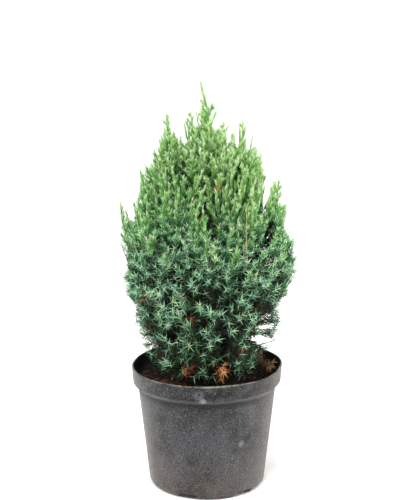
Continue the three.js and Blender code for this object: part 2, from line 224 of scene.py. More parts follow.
# The inner growth, where its twigs are tested against the gaps, and how deep it keeps in the crown
INNER_TESTS = (0.1, 0.25, 0.4, 0.55, 0.7, 0.85, 1.0)
INNER_ROOT_MARGINS = (18.0, 24.0)
INNER_TIP_MARGINS = (16.0, 24.0)
INNER_COARSE = 1.95
INNER_TOP = 378.0
TRUNK_LENGTHS = 8
WITHERED_SHARE = 0.05
WITHERED_BELOW = 250.0

# Sprays that close what is still bare, at the crown's surface and inside it
GAP_SPRAYS = dict(tries=3800, foot=136.0, top=412.0, room=(8.5, 7.2), depths=(6.0, 19.0),
                  length=(24.0, 36.0))
INNER_SPRAYS = dict(tries=3200, foot=134.0, top=402.0, room=(8.0, 10.0), depths=(17.0, 62.0),
                    length=(14.0, 14.0))
SPRAY_DRAW = 911

# How far shoots keep back from the crown's outline at each height, and behind their own carrier's tip
OUTLINE_INSETS = dict(heights=[150, 175, 262, 300, 380, 440], insets=[0, 6, 6, 5, 5, 3])
BEHIND_TIP = (0.75, 0.5)
TIP_CLEARANCE = 1.5

# Low branches on the right: each one's share of its limb's stem, and its turn and its tip in the picture
LOW_BRANCHES = [(0.3, (256, 334.5), (279, 330.5)), (0.08, (258, 346), (279, 338.5))]
LOW_BRANCH_PLACE = 8.0

# Dead sprays, each with its middle, its reach and its tint
DEAD_SPRAYS = [
    (np.array([16.5, -56, 151]), 10.5, "orange"),
    (np.array([-19.5, -56, 151]), 7.0, "rust"),
    (np.array([64.0, -14, 143]), 11.0, "tan"),
    (np.array([36.0, -52, 174]), 6.5, "rose"),
    (np.array([-30.0, 34, 141]), 9.0, "rust"),
    (np.array([44.0, 38, 150]), 9.0, "tan"),
    (np.array([-52.0, 8, 150]), 8.0, "orange"),
]
# Places where the small shoots are dead
DEAD_SPOTS = [
    (np.array([-64.0, -62, 231]), 9.0, "tan"),
    (np.array([-22.0, -76, 216]), 7.0, "rust"),
    (np.array([-29.0, -84, 252]), 5.0, "tan"),
    (np.array([3.0, -92, 262]), 5.0, "orange"),
    (np.array([9.0, -60, 356]), 6.0, "orange"),
    (np.array([60.0, 60, 230]), 8.0, "rust"),
    (np.array([-50.0, 66, 260]), 6.0, "tan"),
]
SPRAY_TWIGS = 11

# Gaps, as ellipses in the picture's pixels: middle x and y, half width and half height.
# The first ones are where the photograph shows sky through the crown.
SKY_GAPS = [
    (266, 200, 3.2, 11), (261, 209, 3.2, 5), (271, 225, 3.2, 5.5), (268, 235, 3, 5), (263, 244, 3.5, 4),
    (266, 263, 4, 4), (272, 256, 3.5, 4), (267, 184, 2.6, 8), (248, 188, 1.6, 11), (279, 265, 3, 4),
    (124, 247, 2.2, 6), (153, 197, 2, 6), (144, 208, 1.6, 5), (138, 245, 2.2, 5), (178, 124, 6, 12),
    (185, 134, 2.6, 8), (233, 122, 4, 10), (229, 134, 2.2, 7), (216, 122, 2.4, 6), (237, 137, 2.6, 9),
    (249, 140, 2.6, 8), (130, 210, 3.2, 9), (196, 120, 2.2, 6), (117, 262, 9, 14), (292, 221, 7, 12),
    (272, 169, 7, 10), (134, 177, 6, 14), (131, 196, 7, 4.5), (291, 312, 9, 16), (125, 314, 8, 18),
    (116, 291, 7, 12), (297, 290, 7, 9),
]

# Open gaps among the low branches on the right, which needles too leave free
OPEN_GAPS = [
    (262, 317.5, 4, 1.8), (268, 316.2, 4, 2), (257, 328.6, 3.5, 1.8), (263, 327.4, 5, 2.6),
    (270, 325.6, 5, 2.4), (252, 338, 4, 1.8), (259, 338.8, 6, 2.8), (267, 339.6, 5, 2.2),
]
OPEN_GAP_TESTS = (0.15, 0.3, 0.4, 0.7, 0.9)

# How far needles may reach past the model's box, as a share of its side, and how far inside that twigs keep
BOX_SPARE = 0.015
TWIG_IN_BOX = 2.0

# Dark openings at the front of the crown, and how deep they reach into it
SHADE_GAPS = [
    (217, 299, 6, 9), (181, 209, 5, 6), (188, 228, 6, 8), (179, 249, 5, 6), (217, 211, 4, 5),
    (216, 234, 4, 4), (190, 252, 5, 5), (238, 308, 5, 6), (199, 350, 5, 4), (194, 323, 5, 5),
    (219, 350, 6, 6), (166, 300, 4, 5), (212, 262, 4, 5), (172, 336, 4, 4),
]
SHADE_DEPTH = 16.0

# The bare stem on the right, from its foot up: the picture's column and row, and the place along Y
BARE_STEM = [(241, 271, -60), (244.6, 263.5, -74), (246.8, 250, -81), (246.2, 235, -83), (247.3, 220, -81),
             (245.8, 203, -74)]
BARE_STEM_FOOT = 0.15
BARE_STEM_RADII = [(0.7, 0.95), (1.2, 0.5), (0.45, 0.3)]
BARE_STEM_OPEN = 0.4
BARE_STEM_SHOWN = (241, 264)

# Tips of spears on the crown's outline, in the picture's pixels
PICTURE_SPEARS = [
    (159, 139), (154, 150), (143, 174), (119.5, 232), (124, 279), (180, 143), (224, 121), (233, 141),
    (254, 147), (261, 158), (276, 182), (281, 206), (293, 239), (297, 256), (290, 281), (149.5, 171),
    (141, 190), (126, 212), (134.5, 209), (133, 224), (120.5, 243), (124, 261), (197, 124), (188, 140),
    (219, 129), (239, 148), (263.5, 169), (265, 186), (278, 197), (282, 218), (286, 237),
]
PICTURE_SPEAR_LENGTH = 58.0
PICTURE_SPEAR_PROUD = 12.0

# The leader's small shoots: the root and the tip of each, in the picture's pixels
LEADER_SHOOTS = [((209, 117), (212.5, 104)), ((210, 126), (215.5, 113)), ((206, 122), (201.5, 110))]

# Needles: where they stand open and where they lie close, their sizes, and how they change at a twig's tip
OPEN_BELOW, CLOSED_ABOVE = 235.0, 365.0
CLOSE_WHORLS, OPEN_WHORLS = 1.85, 2.8
CLOSE_ANGLE, OPEN_ANGLE = 27.0, 64.0
SHORT_NEEDLE, LONG_NEEDLE = 5.4, 9.4
NARROW_NEEDLE, BROAD_NEEDLE = 1.05, 1.55
NEEDLE_KEEL = 0.3
NEEDLE_CURL = 0.07
TIP_ANGLE, TIP_LENGTH, TIP_WIDTH = 0.6, 0.7, 0.8
LEADER_OPENS = 0.22
LEADER_WIDENS = 0.5
NEEDLE_STANDS_PROUD = 1.5
STRAY_NEEDLES = 0.16
WILTED = dict(play=0.3, width=0.7, length=0.85, droop=0.45)
NEEDLE_FACES = np.array([[0, 1, 3], [1, 2, 3], [2, 0, 3], [0, 2, 1]])
NEEDLE_FACE_MATERIAL = [1, 0, 0, 0]

# Heights where the bare stem's bark changes colour, and the woody share of side stems
PEELING_HEIGHTS = (288.0, 298.0)
PEELING_FOOT = (270.0, 279.0)
WOODY_SHARE = 0.42

# The needles' tints, each with its green and its bloom. The first list goes from dark to light; its darkest
# tints, gloom and shade, are painted shade for needles deep in the crown and at its foot.
TINTS = [
    ("gloom", (8, 20, 9), (20, 38, 22)),
    ("shade", (12, 28, 12), (32, 56, 32)),
    ("deep", (26, 76, 32), (88, 142, 104)),
    ("blue_green", (40, 106, 48), (144, 194, 160)),
    ("sea", (62, 132, 60), (174, 212, 176)),
    ("green", (84, 154, 68), (170, 210, 156)),
    ("leaf", (108, 172, 82), (186, 214, 162)),
    ("fresh", (130, 186, 94), (202, 222, 184)),
    ("bright", (152, 200, 112), (212, 226, 196)),
    ("tip", (174, 210, 136), (218, 230, 206)),
]
# The inner growth's tints, low and high in the crown: both painted shade, near black low down and a dim
# green higher up
INNER_TINTS = [("inner_dark", (7, 19, 9), (16, 30, 19)), ("inner_green", (56, 104, 50), (104, 142, 92))]
INNER_GREEN_ABOVE = 300.0
DEAD_TINTS = dict(rust=((112, 52, 28), (160, 98, 68)), orange=((190, 90, 32), (226, 164, 108)),
                  tan=((104, 74, 48), (160, 124, 90)), rose=((104, 50, 36), (152, 94, 70)),
                  umber=((74, 40, 26), (104, 64, 46)))
PATCH_SIZE = 8.0

# How light needles are by height, and what changes it: darker towards the crown's foot as painted shade
# under the crown, painted shade deep inside it and low on the right, and painted light high on the right.
# Pairs are the values low and high in the crown.
TINT_HEIGHTS = [130, 160, 200, 250, 300, 350, 420]
TINT_VALUES = [0.03, 0.19, 0.26, 0.32, 0.5, 0.72, 0.83]
# Painted shade low on the crown's right, and painted light high on its right with painted shade high on its
# left
LOW_RIGHT_SHADE = 0.08
HIGH_RIGHT_LIGHT = 0.06
TINT_LIFT = (150, 420)
TINT_MOODS = (0.15, 0.08)
TINT_PATCHES = 0.05
TINT_AT_TIPS = (0.16, 0.2)
# Painted shade deep in the crown: how much darker needles get inside it, low and high, over these depths
PAINTED_SHADE_INSIDE = (0.6, 0.14)
PAINTED_SHADE_DEPTHS = (2, 26)
SIDE_REACH = 50
LOW_SHADE_HEIGHTS = (180, 240)
HIGH_LIGHT_HEIGHTS = (290, 340)

# The studio
WORLD_STRENGTH = 0.48
SUN_TOWARDS = (-0.25, -0.75, 1.2)
SUN_SPREAD = 22
SUN_STRENGTH = 2.7
SOFTBOXES = dict(light_left=((-1.3, 0.2, 0.7), 17), light_right=((1.3, 0.2, 0.7), 27))
SOFTBOX_SIZE = 0.9
SOFTBOX_COLOUR = (1.0, 0.96, 0.9)
AIM_HEIGHT = 0.25
FLOOR_RADIUS = 8000.0

# A heading that no twig follows, from which their sides are worked out
ASKEW = (0.31, 0.27, 0.91)

rng = np.random.default_rng(SEED)


# Numbers and curves

def chance(*keys):
    """A repeatable number from 0 to 1 for each set of whole numbers, as in the model's source"""
    mixed = SEED
    for key in keys:
        mixed = ((mixed ^ key) * 0x9E3779B1) & 0xFFFFFFFF
        mixed ^= mixed >> 15
        mixed = (mixed * 0x85EBCA6B) & 0xFFFFFFFF
        mixed ^= mixed >> 13
    return mixed / 4294967296


def mix(start, end, share):
    return start + (end - start) * share


def ease(value, low, high):
    """0 below low, 1 above high, and a smooth slope between"""
    share = np.clip((value - low) / (high - low), 0, 1)
    return share * share * (3 - 2 * share)


def unit(vectors):
    return vectors / np.linalg.norm(vectors, axis=-1, keepdims=True)


def column(values):
    return np.asarray(values)[..., None]


class Path:
    """A line through many points, measured along its length"""

    def __init__(self, points):
        self.points = np.asarray(points, float)
        steps = np.linalg.norm(np.diff(self.points, axis=0), axis=1)
        self.run = np.concatenate([[0.0], np.cumsum(steps)])
        self.length = self.run[-1]

    def at(self, shares):
        run = np.asarray(shares, float) * self.length
        return np.stack([np.interp(run, self.run, self.points[:, k]) for k in range(3)], axis=-1)

    def heading(self, shares):
        shares = np.asarray(shares, float)
        return unit(self.at(np.minimum(shares + 0.01, 1)) - self.at(np.maximum(shares - 0.01, 0)))

    def part(self, start, end):
        return Path(self.at(np.linspace(start, end, 41)))


def bezier(corners, steps=60):
    """Points along the Bezier curve with these corners"""
    share = np.linspace(0, 1, steps + 1)[:, None]
    level = [np.asarray(corner, float) for corner in corners]
    while len(level) > 1:
        level = [mix(a, b, share) for a, b in zip(level, level[1:])]
    return level[0]


def spline(corners, steps=40):
    """Points along the smooth curve through the corners, its knots spaced by the root of their distance"""
    corners = [2 * corners[0] - corners[1], *corners, 2 * corners[-1] - corners[-2]]
    points = []
    for four in zip(corners, corners[1:], corners[2:], corners[3:]):
        knots = [0.0]
        for a, b in zip(four, four[1:]):
            knots.append(knots[-1] + math.sqrt(np.linalg.norm(b - a)))
        at = np.linspace(knots[1], knots[2], steps + 1)[:, None]
        level = list(four)
        for reach in (1, 2):
            level = [
                mix(a, b, (at - knots[i]) / (knots[i + reach] - knots[i]))
                for i, (a, b) in enumerate(zip(level, level[1:]))
            ]
        points.extend(mix(level[0], level[1], (at - knots[1]) / (knots[2] - knots[1])))
    return points


# Meshes and materials

def new_piece(name, corners, faces, materials, face_material=None, smooth=True):
    """A mesh object from corners in millimetres and lists of corner numbers, one material to a face"""
    mesh = bpy.data.meshes.new(name)
    sizes = np.concatenate([np.full(len(group), group.shape[1]) for group in faces])
    loops = np.concatenate([group.ravel() for group in faces])
    mesh.vertices.add(len(corners))
    mesh.vertices.foreach_set("co", (np.asarray(corners) * MM).astype(np.float32).ravel())
    mesh.loops.add(len(loops))
    mesh.loops.foreach_set("vertex_index", loops.astype(np.int32))
    mesh.polygons.add(len(sizes))
    mesh.polygons.foreach_set("loop_start", (np.cumsum(sizes) - sizes).astype(np.int32))
    for material in materials:
        mesh.materials.append(material)
    if face_material is not None:
        mesh.polygons.foreach_set("material_index", np.asarray(face_material, np.int32))
    mesh.polygons.foreach_set("use_smooth", np.full(len(sizes), smooth))
    mesh.update(calc_edges=True)
    mesh.validate()
    piece = bpy.data.objects.new(name, mesh)
    bpy.context.scene.collection.objects.link(piece)
    return piece


def copies(faces, count, corners_each):
    """The faces of many shapes alike, whose corners follow one another"""
    return (faces[None] + corners_each * np.arange(count)[:, None, None]).reshape(-1, faces.shape[1])


def merged(parts):
    """Several meshes' corners and faces as one mesh's"""
    corners, faces, start = [], {}, 0
    for part_corners, part_faces in parts:
        for group in part_faces:
            faces.setdefault(group.shape[1], []).append(group + start)
        corners.append(part_corners)
        start += len(part_corners)
    return np.concatenate(corners), [np.concatenate(groups) for groups in faces.values()]


def dress(piece, slot, *nodes):
    """The piece rides on the plant's one body and stands for the nodes. The slot is not used."""
    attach(piece, "root")
    if nodes:
        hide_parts(*nodes)
    return piece


def colour(red, green, blue):
    """A screen colour from 0 to 255 as the linear colour that a shader takes"""
    screen = np.array([red, green, blue]) / 255
    linear = np.where(screen <= 0.04045, screen / 12.92, ((screen + 0.055) / 1.055) ** 2.4)
    return (*linear.tolist(), 1.0)


class Recipe:
    """A material whose nodes are added one by one"""

    def __init__(self, name, roughness):
        self.material = bpy.data.materials.new(name)
        self.material.use_nodes = True
        self.nodes = self.material.node_tree.nodes
        self.links = self.material.node_tree.links
        self.shader = self.nodes["Principled BSDF"]
        self.shader.inputs["Roughness"].default_value = roughness
        self.place = self.nodes.new("ShaderNodeTexCoord").outputs["Object"]

    def link(self, source, target):
        self.links.new(source, target)

    def set(self, socket, value):
        self.shader.inputs[socket].default_value = value

    def paint(self, base):
        """The surface takes this colour."""
        self.link(base, self.shader.inputs["Base Color"])

    def noise(self, scale, detail=3.0, stretch=(1, 1, 1), roughness=0.5):
        """Noise of so many swells to the metre, stretched along an axis where its number is small"""
        mapping = self.nodes.new("ShaderNodeMapping")
        mapping.inputs["Scale"].default_value = stretch
        self.link(self.place, mapping.inputs["Vector"])
        texture = self.nodes.new("ShaderNodeTexNoise")
        texture.inputs["Scale"].default_value = scale
        texture.inputs["Detail"].default_value = detail
        texture.inputs["Roughness"].default_value = roughness
        self.link(mapping.outputs["Vector"], texture.inputs["Vector"])
        return texture.outputs["Fac"]

    def mottle(self, scale, detail, low, high, roughness=0.5, stretch=(1, 1, 1)):
        """Noise whose range from low to high becomes 0 to 1"""
        return self.spread(self.noise(scale, detail, stretch, roughness), low, high)

    def height(self, low, high):
        """0 below the low height and 1 above the high one, in millimetres"""
        split = self.nodes.new("ShaderNodeSeparateXYZ")
        self.link(self.place, split.inputs["Vector"])
        return self.spread(split.outputs["Z"], low * MM, high * MM)

    def between(self, low, full, waning, high):
        """1 from the height full to the height waning, and 0 below low and above high"""
        return self.times(self.height(low, full), self.rest(self.height(waning, high)))

    def spread(self, value, low, high, to_low=0.0, to_high=1.0):
        """The value's range from low to high, spread over another range and cut off there"""
        node = self.nodes.new("ShaderNodeMapRange")
        self.link(value, node.inputs["Value"])
        limits = {"From Min": low, "From Max": high, "To Min": to_low, "To Max": to_high}
        for socket, number in limits.items():
            node.inputs[socket].default_value = number
        return node.outputs["Result"]

    def sums(self, operation, first, second):
        node = self.nodes.new("ShaderNodeMath")
        node.operation = operation
        for socket, value in zip(node.inputs, (first, second)):
            if isinstance(value, (int, float)):
                socket.default_value = value
            else:
                self.link(value, socket)
        return node.outputs["Value"]

    def times(self, first, second):
        return self.sums("MULTIPLY", first, second)

    def rest(self, share):
        return self.sums("SUBTRACT", 1.0, share)

    def near(self, middle, inner, outer):
        """1 within the inner radius of a place in millimetres, and 0 beyond the outer one"""
        node = self.nodes.new("ShaderNodeVectorMath")
        node.operation = "DISTANCE"
        self.link(self.place, node.inputs[0])
        node.inputs[1].default_value = middle * MM
        return self.spread(node.outputs["Value"], outer * MM, inner * MM)

    def blend(self, share, below, above):
        """The colour below where the share is 0, and the one above where it is 1"""
        node = self.nodes.new("ShaderNodeMix")
        node.data_type = "RGBA"
        self.link(share, node.inputs["Factor"])
        for socket, value in ((node.inputs[6], below), (node.inputs[7], above)):
            if isinstance(value, tuple):
                socket.default_value = value
            else:
                self.link(value, socket)
        return node.outputs[2]

    def over(self, below, share, strength, above):
        """The colour below, with the one above laid over it at this strength where the share is 1"""
        return self.blend(self.times(share, strength), below, above)

    def bump(self, height, depth, strength=1.0):
        """Relief of that depth in millimetres"""
        node = self.nodes.new("ShaderNodeBump")
        node.inputs["Strength"].default_value = strength
        node.inputs["Distance"].default_value = depth * MM
        self.link(height, node.inputs["Height"])
        self.link(node.outputs["Normal"], self.shader.inputs["Normal"])


# The pot

def wall_radius(height):
    return mix(FOOT_RADIUS, WALL_TOP_RADIUS, height / BAND_FOOT)


def arc(middle_radius, middle_height, radius, start, end, steps=6):
    """Profile points round a corner, from one bearing in degrees to the other"""
    turns = np.radians(np.linspace(start, end, steps + 1))
    return [(middle_radius + radius * math.cos(a), middle_height + radius * math.sin(a)) for a in turns]


def stretch(start, end, steps):
    """Profile points on a straight stretch, its two ends left out"""
    return [tuple(mix(np.array(start), np.array(end), i / steps)) for i in range(1, steps)]


def pot_profile():
    """The outside from the middle of the underside to the rim, and then the inside back to the middle"""
    outer_foot = arc(FOOT_EDGE, FOOT_ROUND, FOOT_ROUND, -90, -2, 10)
    under_band = (WALL_TOP_RADIUS, BAND_FOOT)
    band_low = (BAND_FOOT_RADIUS, BAND_FOOT + BAND_CHAMFER)
    band_high = (RIM_RADIUS, POT_HEIGHT - LIP)
    band_inside = (BAND_FOOT_RADIUS - WALL, band_low[1] + WALL)
    inside_low = (wall_radius(FOOT_ROUND + FLOOR_TOP) - WALL, FOOT_ROUND + FLOOR_TOP)
    inside_high = (WALL_TOP_RADIUS - WALL, BAND_FOOT + WALL)
    return [
        (0.0, 0.0),
        (0.5 * PAD_RADIUS, 0.0),
        (PAD_RADIUS - 0.4, 0.0),
        (PAD_RADIUS, 0.4),
        (PAD_RADIUS, FOOT_RECESS),
        (0.5 * (PAD_RADIUS + FOOT_EDGE), FOOT_RECESS),
        (FOOT_EDGE - FOOT_RING, FOOT_RECESS),
        (FOOT_EDGE - FOOT_RING, 0.3),
        (FOOT_EDGE - FOOT_RING + 0.3, 0.0),
        *outer_foot,
        *stretch(outer_foot[-1], under_band, 24),
        (under_band[0] - 0.05, under_band[1] - 0.6),
        (under_band[0] + 0.5, under_band[1] + 0.1),
        *stretch(under_band, band_low, 5),
        *arc(band_low[0] - BEAD, band_low[1], BEAD, -40, 40, 4),
        *stretch(band_low, band_high, 8),
        *arc(RIM_RADIUS - LIP, POT_HEIGHT - LIP, LIP, 0, 180, 8),
        *stretch((RIM_RADIUS - 2 * LIP, POT_HEIGHT - LIP), band_inside, 6),
        band_inside,
        inside_high,
        *stretch(inside_high, inside_low, 8),
        inside_low,
        (FOOT_EDGE, FLOOR_TOP),
        (0.0, FLOOR_TOP),
    ]


def notch_bearings():
    return [math.radians(NOTCH_TURN - 90 + 360 / NOTCH_COUNT * i) for i in range(NOTCH_COUNT)]


def pot_bearings(count):
    """Even bearings round the pot, with a close pair at each side of each foot notch"""
    half = math.asin(0.5 * NOTCH_WIDTH / FOOT_RADIUS)
    crisp = 0.002
    edges = [a + side * (half + d) for a in notch_bearings() for side in (-1, 1) for d in (-crisp, crisp)]
    even = 2 * math.pi * np.arange(count) / count
    edges = np.mod(edges, 2 * math.pi)
    far = [min(abs(math.remainder(a - e, 2 * math.pi)) for e in edges) > 0.012 for a in even]
    return np.sort(np.concatenate([even[far], edges]))


def in_notch(bearing):
    half = math.asin(0.5 * NOTCH_WIDTH / FOOT_RADIUS)
    return any(abs(math.remainder(bearing - a, 2 * math.pi)) < half for a in notch_bearings())


def ring_faces(rows, turns):
    """The faces of rows of corners in rings, closed at both ends by the two corners after them"""
    row = np.arange(rows - 1)[:, None] * turns
    here = np.arange(turns)[None, :]
    following = (here + 1) % turns
    quads = np.stack([row + here, row + following, row + turns + following, row + turns + here], axis=-1)
    first = np.stack([np.full(turns, rows * turns), following[0], here[0]], axis=-1)
    last_row = (rows - 1) * turns
    last = np.stack([np.full(turns, rows * turns + 1), last_row + here[0], last_row + following[0]], axis=-1)
    return [quads.reshape(-1, 4), first, last]


def turned(profile, bearings):
    """Corners and faces of a profile turned about the axis, its two ends on the axis"""
    profile = np.array(profile)
    radius, height = profile[1:-1, 0][:, None], profile[1:-1, 1][:, None]
    rings = np.stack([radius * np.cos(bearings), radius * np.sin(bearings), height + 0 * bearings], axis=-1)
    ends = np.array([[0, 0, profile[0, 1]], [0, 0, profile[-1, 1]]])
    return np.concatenate([rings.reshape(-1, 3), ends]), ring_faces(len(profile) - 2, len(bearings))


def drawn_oval(corners):
    """Round at the foot, and drawn out to an oval towards the rim"""
    bearing = np.arctan2(corners[:, 1], corners[:, 0])
    share = np.clip(corners[:, 2] / POT_HEIGHT, 0, 1)
    stretched = 1 + OVAL * share * np.cos(2 * (bearing - math.radians(OVAL_TURN)))
    corners[:, :2] *= stretched[:, None]
    return corners


def worn_by_use(corners):
    """The soft wall's slight waves, strongest at the rim"""
    bearing = np.arctan2(corners[:, 1], corners[:, 0])
    share = np.clip(corners[:, 2] / POT_HEIGHT, 0, 1) ** 4
    corners[:, 2] += share * (0.5 * np.sin(3 * bearing + 0.4) + 0.35 * np.sin(5 * bearing + 2.0))
    dent = 0.4 * np.sin(4 * bearing + 1.0) + 0.25 * np.sin(7 * bearing)
    corners[:, :2] *= (1 + share * dent / RIM_RADIUS)[:, None]
    return corners


# Marks on the pot, each with its place, its inner and outer radius, its strength and its colour
POT_MARKS = [
    (np.array([-9, -84.6, 130.0]), 1.0, 7.5, 0.45, colour(134, 134, 138)),
    (np.array([-9, -84.6, 131.2]), 1.1, 2.2, 1.0, colour(2, 2, 3)),
    (np.array([-10.5, -84.6, 128.2]), 0.5, 1.7, 0.9, colour(3, 3, 4)),
    (np.array([-5, -84.2, 122.5]), 1.5, 5.0, 0.8, colour(156, 156, 156)),
    (np.array([44, -58, 71]), 1.0, 5.0, 0.8, colour(4, 4, 6)),
    (np.array([47, -55.5, 73]), 0.5, 4.0, 0.8, colour(4, 4, 6)),
    (np.array([38, -62, 66]), 0.5, 5.0, 0.6, colour(150, 150, 146)),
    (np.array([4.5, -69, 40]), 0.4, 2.2, 0.7, colour(112, 70, 50)),
    (np.array([-26, -62, 23]), 0.4, 2.6, 0.6, colour(112, 72, 54)),
    (np.array([-6, -67, 18.5]), 0.4, 2.4, 0.7, colour(106, 66, 48)),
]


def pot_plastic():
    """Dark grey recycled plastic under a haze of dust, with fine specks, worn edges, grime low down and
    painted shade under the band
    """
    recipe = Recipe("pot_plastic", 0.5)
    cloud = recipe.mottle(22, 4, 0.41, 0.6)
    patch = recipe.mottle(95, 4, 0.36, 0.66, roughness=0.6)
    fine = recipe.mottle(POT_GRAIN, 2, 0.4, 0.62, roughness=0.8)
    speck = recipe.mottle(POT_GRAIN, 1, 0.68, 0.75)
    pit = recipe.mottle(POT_GRAIN, 1, 0.46, 0.37)
    band = recipe.height(BAND_FOOT + 5, BAND_FOOT + 7)
    dark_band = recipe.times(band, recipe.mottle(110, 4, 0.62, 0.4, roughness=0.7))
    grime = recipe.times(recipe.rest(recipe.height(4, 62)), recipe.mottle(60, 5, 0.36, 0.7, roughness=0.65))
    # Painted shade on the wall and the step just under the band, where the band casts its shadow
    corner = recipe.between(BAND_FOOT - 8, BAND_FOOT - 1, BAND_FOOT + 2.2, BAND_FOOT + 4.4)
    edge = recipe.between(BAND_FOOT + 3.4, BAND_FOOT + 4.4, BAND_FOOT + 5.2, BAND_FOOT + 6.6)
    rim = recipe.height(POT_HEIGHT - 1.3, POT_HEIGHT - 0.4)
    worn = recipe.sums("ADD", recipe.times(edge, 0.26), rim)
    worn = recipe.times(worn, recipe.mottle(48, 5, 0.44, 0.6, roughness=0.7))
    base = recipe.blend(cloud, colour(1, 1, 6), colour(64, 65, 70))
    for share, strength, shade in (
        (patch, 0.4, colour(84, 84, 87)),
        (fine, 0.4, colour(90, 90, 91)),
        (pit, 0.65, colour(2, 2, 6)),
        (dark_band, 0.6, colour(6, 6, 13)),
        (grime, 0.5, colour(102, 84, 66)),
        (speck, 0.6, colour(176, 173, 164)),
        # painted shade under the band
        (corner, 0.8, colour(12, 12, 15)),
        (worn, 0.65, colour(148, 145, 134)),
    ):
        base = recipe.over(base, share, strength, shade)
    grainy = recipe.spread(fine, 0.1, 0.6, 0.5, 1.0)
    for place, inner, outer, strength, shade in POT_MARKS:
        base = recipe.over(base, recipe.times(recipe.near(place, inner, outer), grainy), strength, shade)
    recipe.paint(base)
    recipe.link(recipe.spread(cloud, 0, 1, 0.46, 0.62), recipe.shader.inputs["Roughness"])
    recipe.set("Specular IOR Level", 0.16)
    recipe.set("Sheen Weight", 0.26)
    recipe.set("Sheen Roughness", 0.4)
    recipe.set("Sheen Tint", (1.0, 0.96, 0.9, 1.0))
    recipe.bump(recipe.sums("ADD", fine, recipe.times(patch, 0.8)), 0.17, 0.7)
    return recipe.material


def pot_inside():
    """The inner wall, painted near black as the shade inside the pot, with a faint lighter grain"""
    recipe = Recipe("pot_inside", 0.7)
    grain = recipe.mottle(500, 2, 0.35, 0.7)
    # Near-black colours: painted shade inside the pot
    base = recipe.blend(recipe.mottle(60, 4, 0.36, 0.68, roughness=0.6), colour(7, 7, 8), colour(16, 15, 14))
    recipe.paint(recipe.over(base, grain, 0.3, colour(32, 29, 26)))
    recipe.set("Specular IOR Level", 0.2)
    recipe.bump(grain, 0.15, 0.6)
    return recipe.material


def make_pot():
    profile, bearings = pot_profile(), pot_bearings(160)
    corners, faces = turned(profile, bearings)
    highest = max(range(len(profile)), key=lambda i: profile[i][1])
    outside = (highest + 1) * len(bearings)
    inside = [0] * outside + [1] * (len(faces[0]) - outside) + [0] * len(faces[1]) + [1] * len(faces[2])
    bearing = np.arctan2(corners[:, 1], corners[:, 0])
    across = np.hypot(corners[:, 0], corners[:, 1])
    notched = np.array([in_notch(a) for a in bearing])
    raised = notched & (across > FOOT_EDGE - FOOT_RING - 0.1) & (corners[:, 2] < NOTCH_HEIGHT)
    corners[raised, 2] = NOTCH_HEIGHT
    corners = worn_by_use(drawn_oval(corners))
    pot = new_piece("pot_shell", corners, faces, [pot_plastic(), pot_inside()], inside)
    drill_drains(pot)
    return dress(pot, "pot_plastic", "pot")


def drill_drains(pot):
    """Cuts a round drain hole through the pot's floor inside each foot notch"""
    around = 2 * math.pi * np.arange(20) / 20
    pins = []
    for bearing in notch_bearings():
        corners, faces = turned([(0, 2), (DRAIN_RADIUS, 2), (DRAIN_RADIUS, 10), (0, 10)], around)
        pins.append((corners + DRAIN_CIRCLE * np.array([math.cos(bearing), math.sin(bearing), 0]), faces))
    cutter = new_piece("drain_pins", *merged(pins), [])
    cut = pot.modifiers.new("drains", "BOOLEAN")
    cut.operation = "DIFFERENCE"
    cut.solver = "EXACT"
    cut.object = cutter
    bpy.context.view_layer.update()
    drilled = pot.evaluated_get(bpy.context.evaluated_depsgraph_get())
    shape = bpy.data.meshes.new_from_object(drilled)
    pot.modifiers.clear()
    pot.data = shape
    bpy.data.objects.remove(cutter)


# The potting soil

def soil_material():
    """Dark peat with browner patches, painted darker still as the shade under the crown"""
    recipe = Recipe("potting_soil", 0.95)
    grain = recipe.mottle(340, 4, 0.35, 0.7, roughness=0.65)
    # The peat's colours are darkened as painted shade under the crown
    base = recipe.blend(grain, colour(11, 9, 8), colour(34, 24, 19))
    recipe.paint(recipe.over(base, recipe.mottle(70, 3, 0.4, 0.65), 0.35, colour(54, 32, 20)))
    recipe.bump(grain, 0.8)
    return recipe.material


def bits_material(name, dark, light):
    """Fibres and bits of bark, lighter and darker from one to the next"""
    recipe = Recipe(name, 0.85)
    recipe.paint(recipe.blend(recipe.mottle(160, 2, 0.35, 0.65), colour(*dark), colour(*light)))
    recipe.bump(recipe.noise(1500, 2), 0.15)
    return recipe.material


def soil_height(x, y):
    """The lumpy surface of the soil, a little higher round the trunk"""
    across = np.hypot(x, y)
    rise = SOIL_CROWN * (1 - ease(across, 12, WALL_TOP_RADIUS))
    lumps = 0.9 * np.sin(0.19 * x + 1.3) * np.cos(0.23 * y) + 0.7 * np.sin(0.41 * x - 0.37 * y + 2)
    return SOIL_EDGE - 1.2 + rise + 0.5 * lumps


def make_soil():
    side = WALL + GAP
    slope = BAND_STEP / BAND_CHAMFER
    brim = WALL_TOP_RADIUS - WALL - 2 * GAP + slope * (SOIL_EDGE - BAND_FOOT - WALL)
    rings = 34
    top = [(brim * (1 - i / rings), SOIL_EDGE) for i in range(rings)]
    profile = [
        (0.0, FLOOR_TOP + GAP),
        (FOOT_EDGE - side, FLOOR_TOP + GAP),
        (wall_radius(FOOT_ROUND + FLOOR_TOP) - side, FOOT_ROUND + FLOOR_TOP + GAP),
        (WALL_TOP_RADIUS - side, BAND_FOOT + WALL + GAP),
        *top,
        (0.0, SOIL_EDGE),
    ]
    corners, faces = turned(profile, 2 * math.pi * np.arange(150) / 150)
    on_top = corners[:, 2] > SOIL_EDGE - 0.01
    crumble = rng.normal(0, 0.35, len(corners))
    corners[on_top, 2] = soil_height(corners[on_top, 0], corners[on_top, 1]) + crumble[on_top]
    soil = new_piece("soil_bed", drawn_oval(corners), faces, [soil_material()])
    return dress(soil, "potting_soil", "soil")


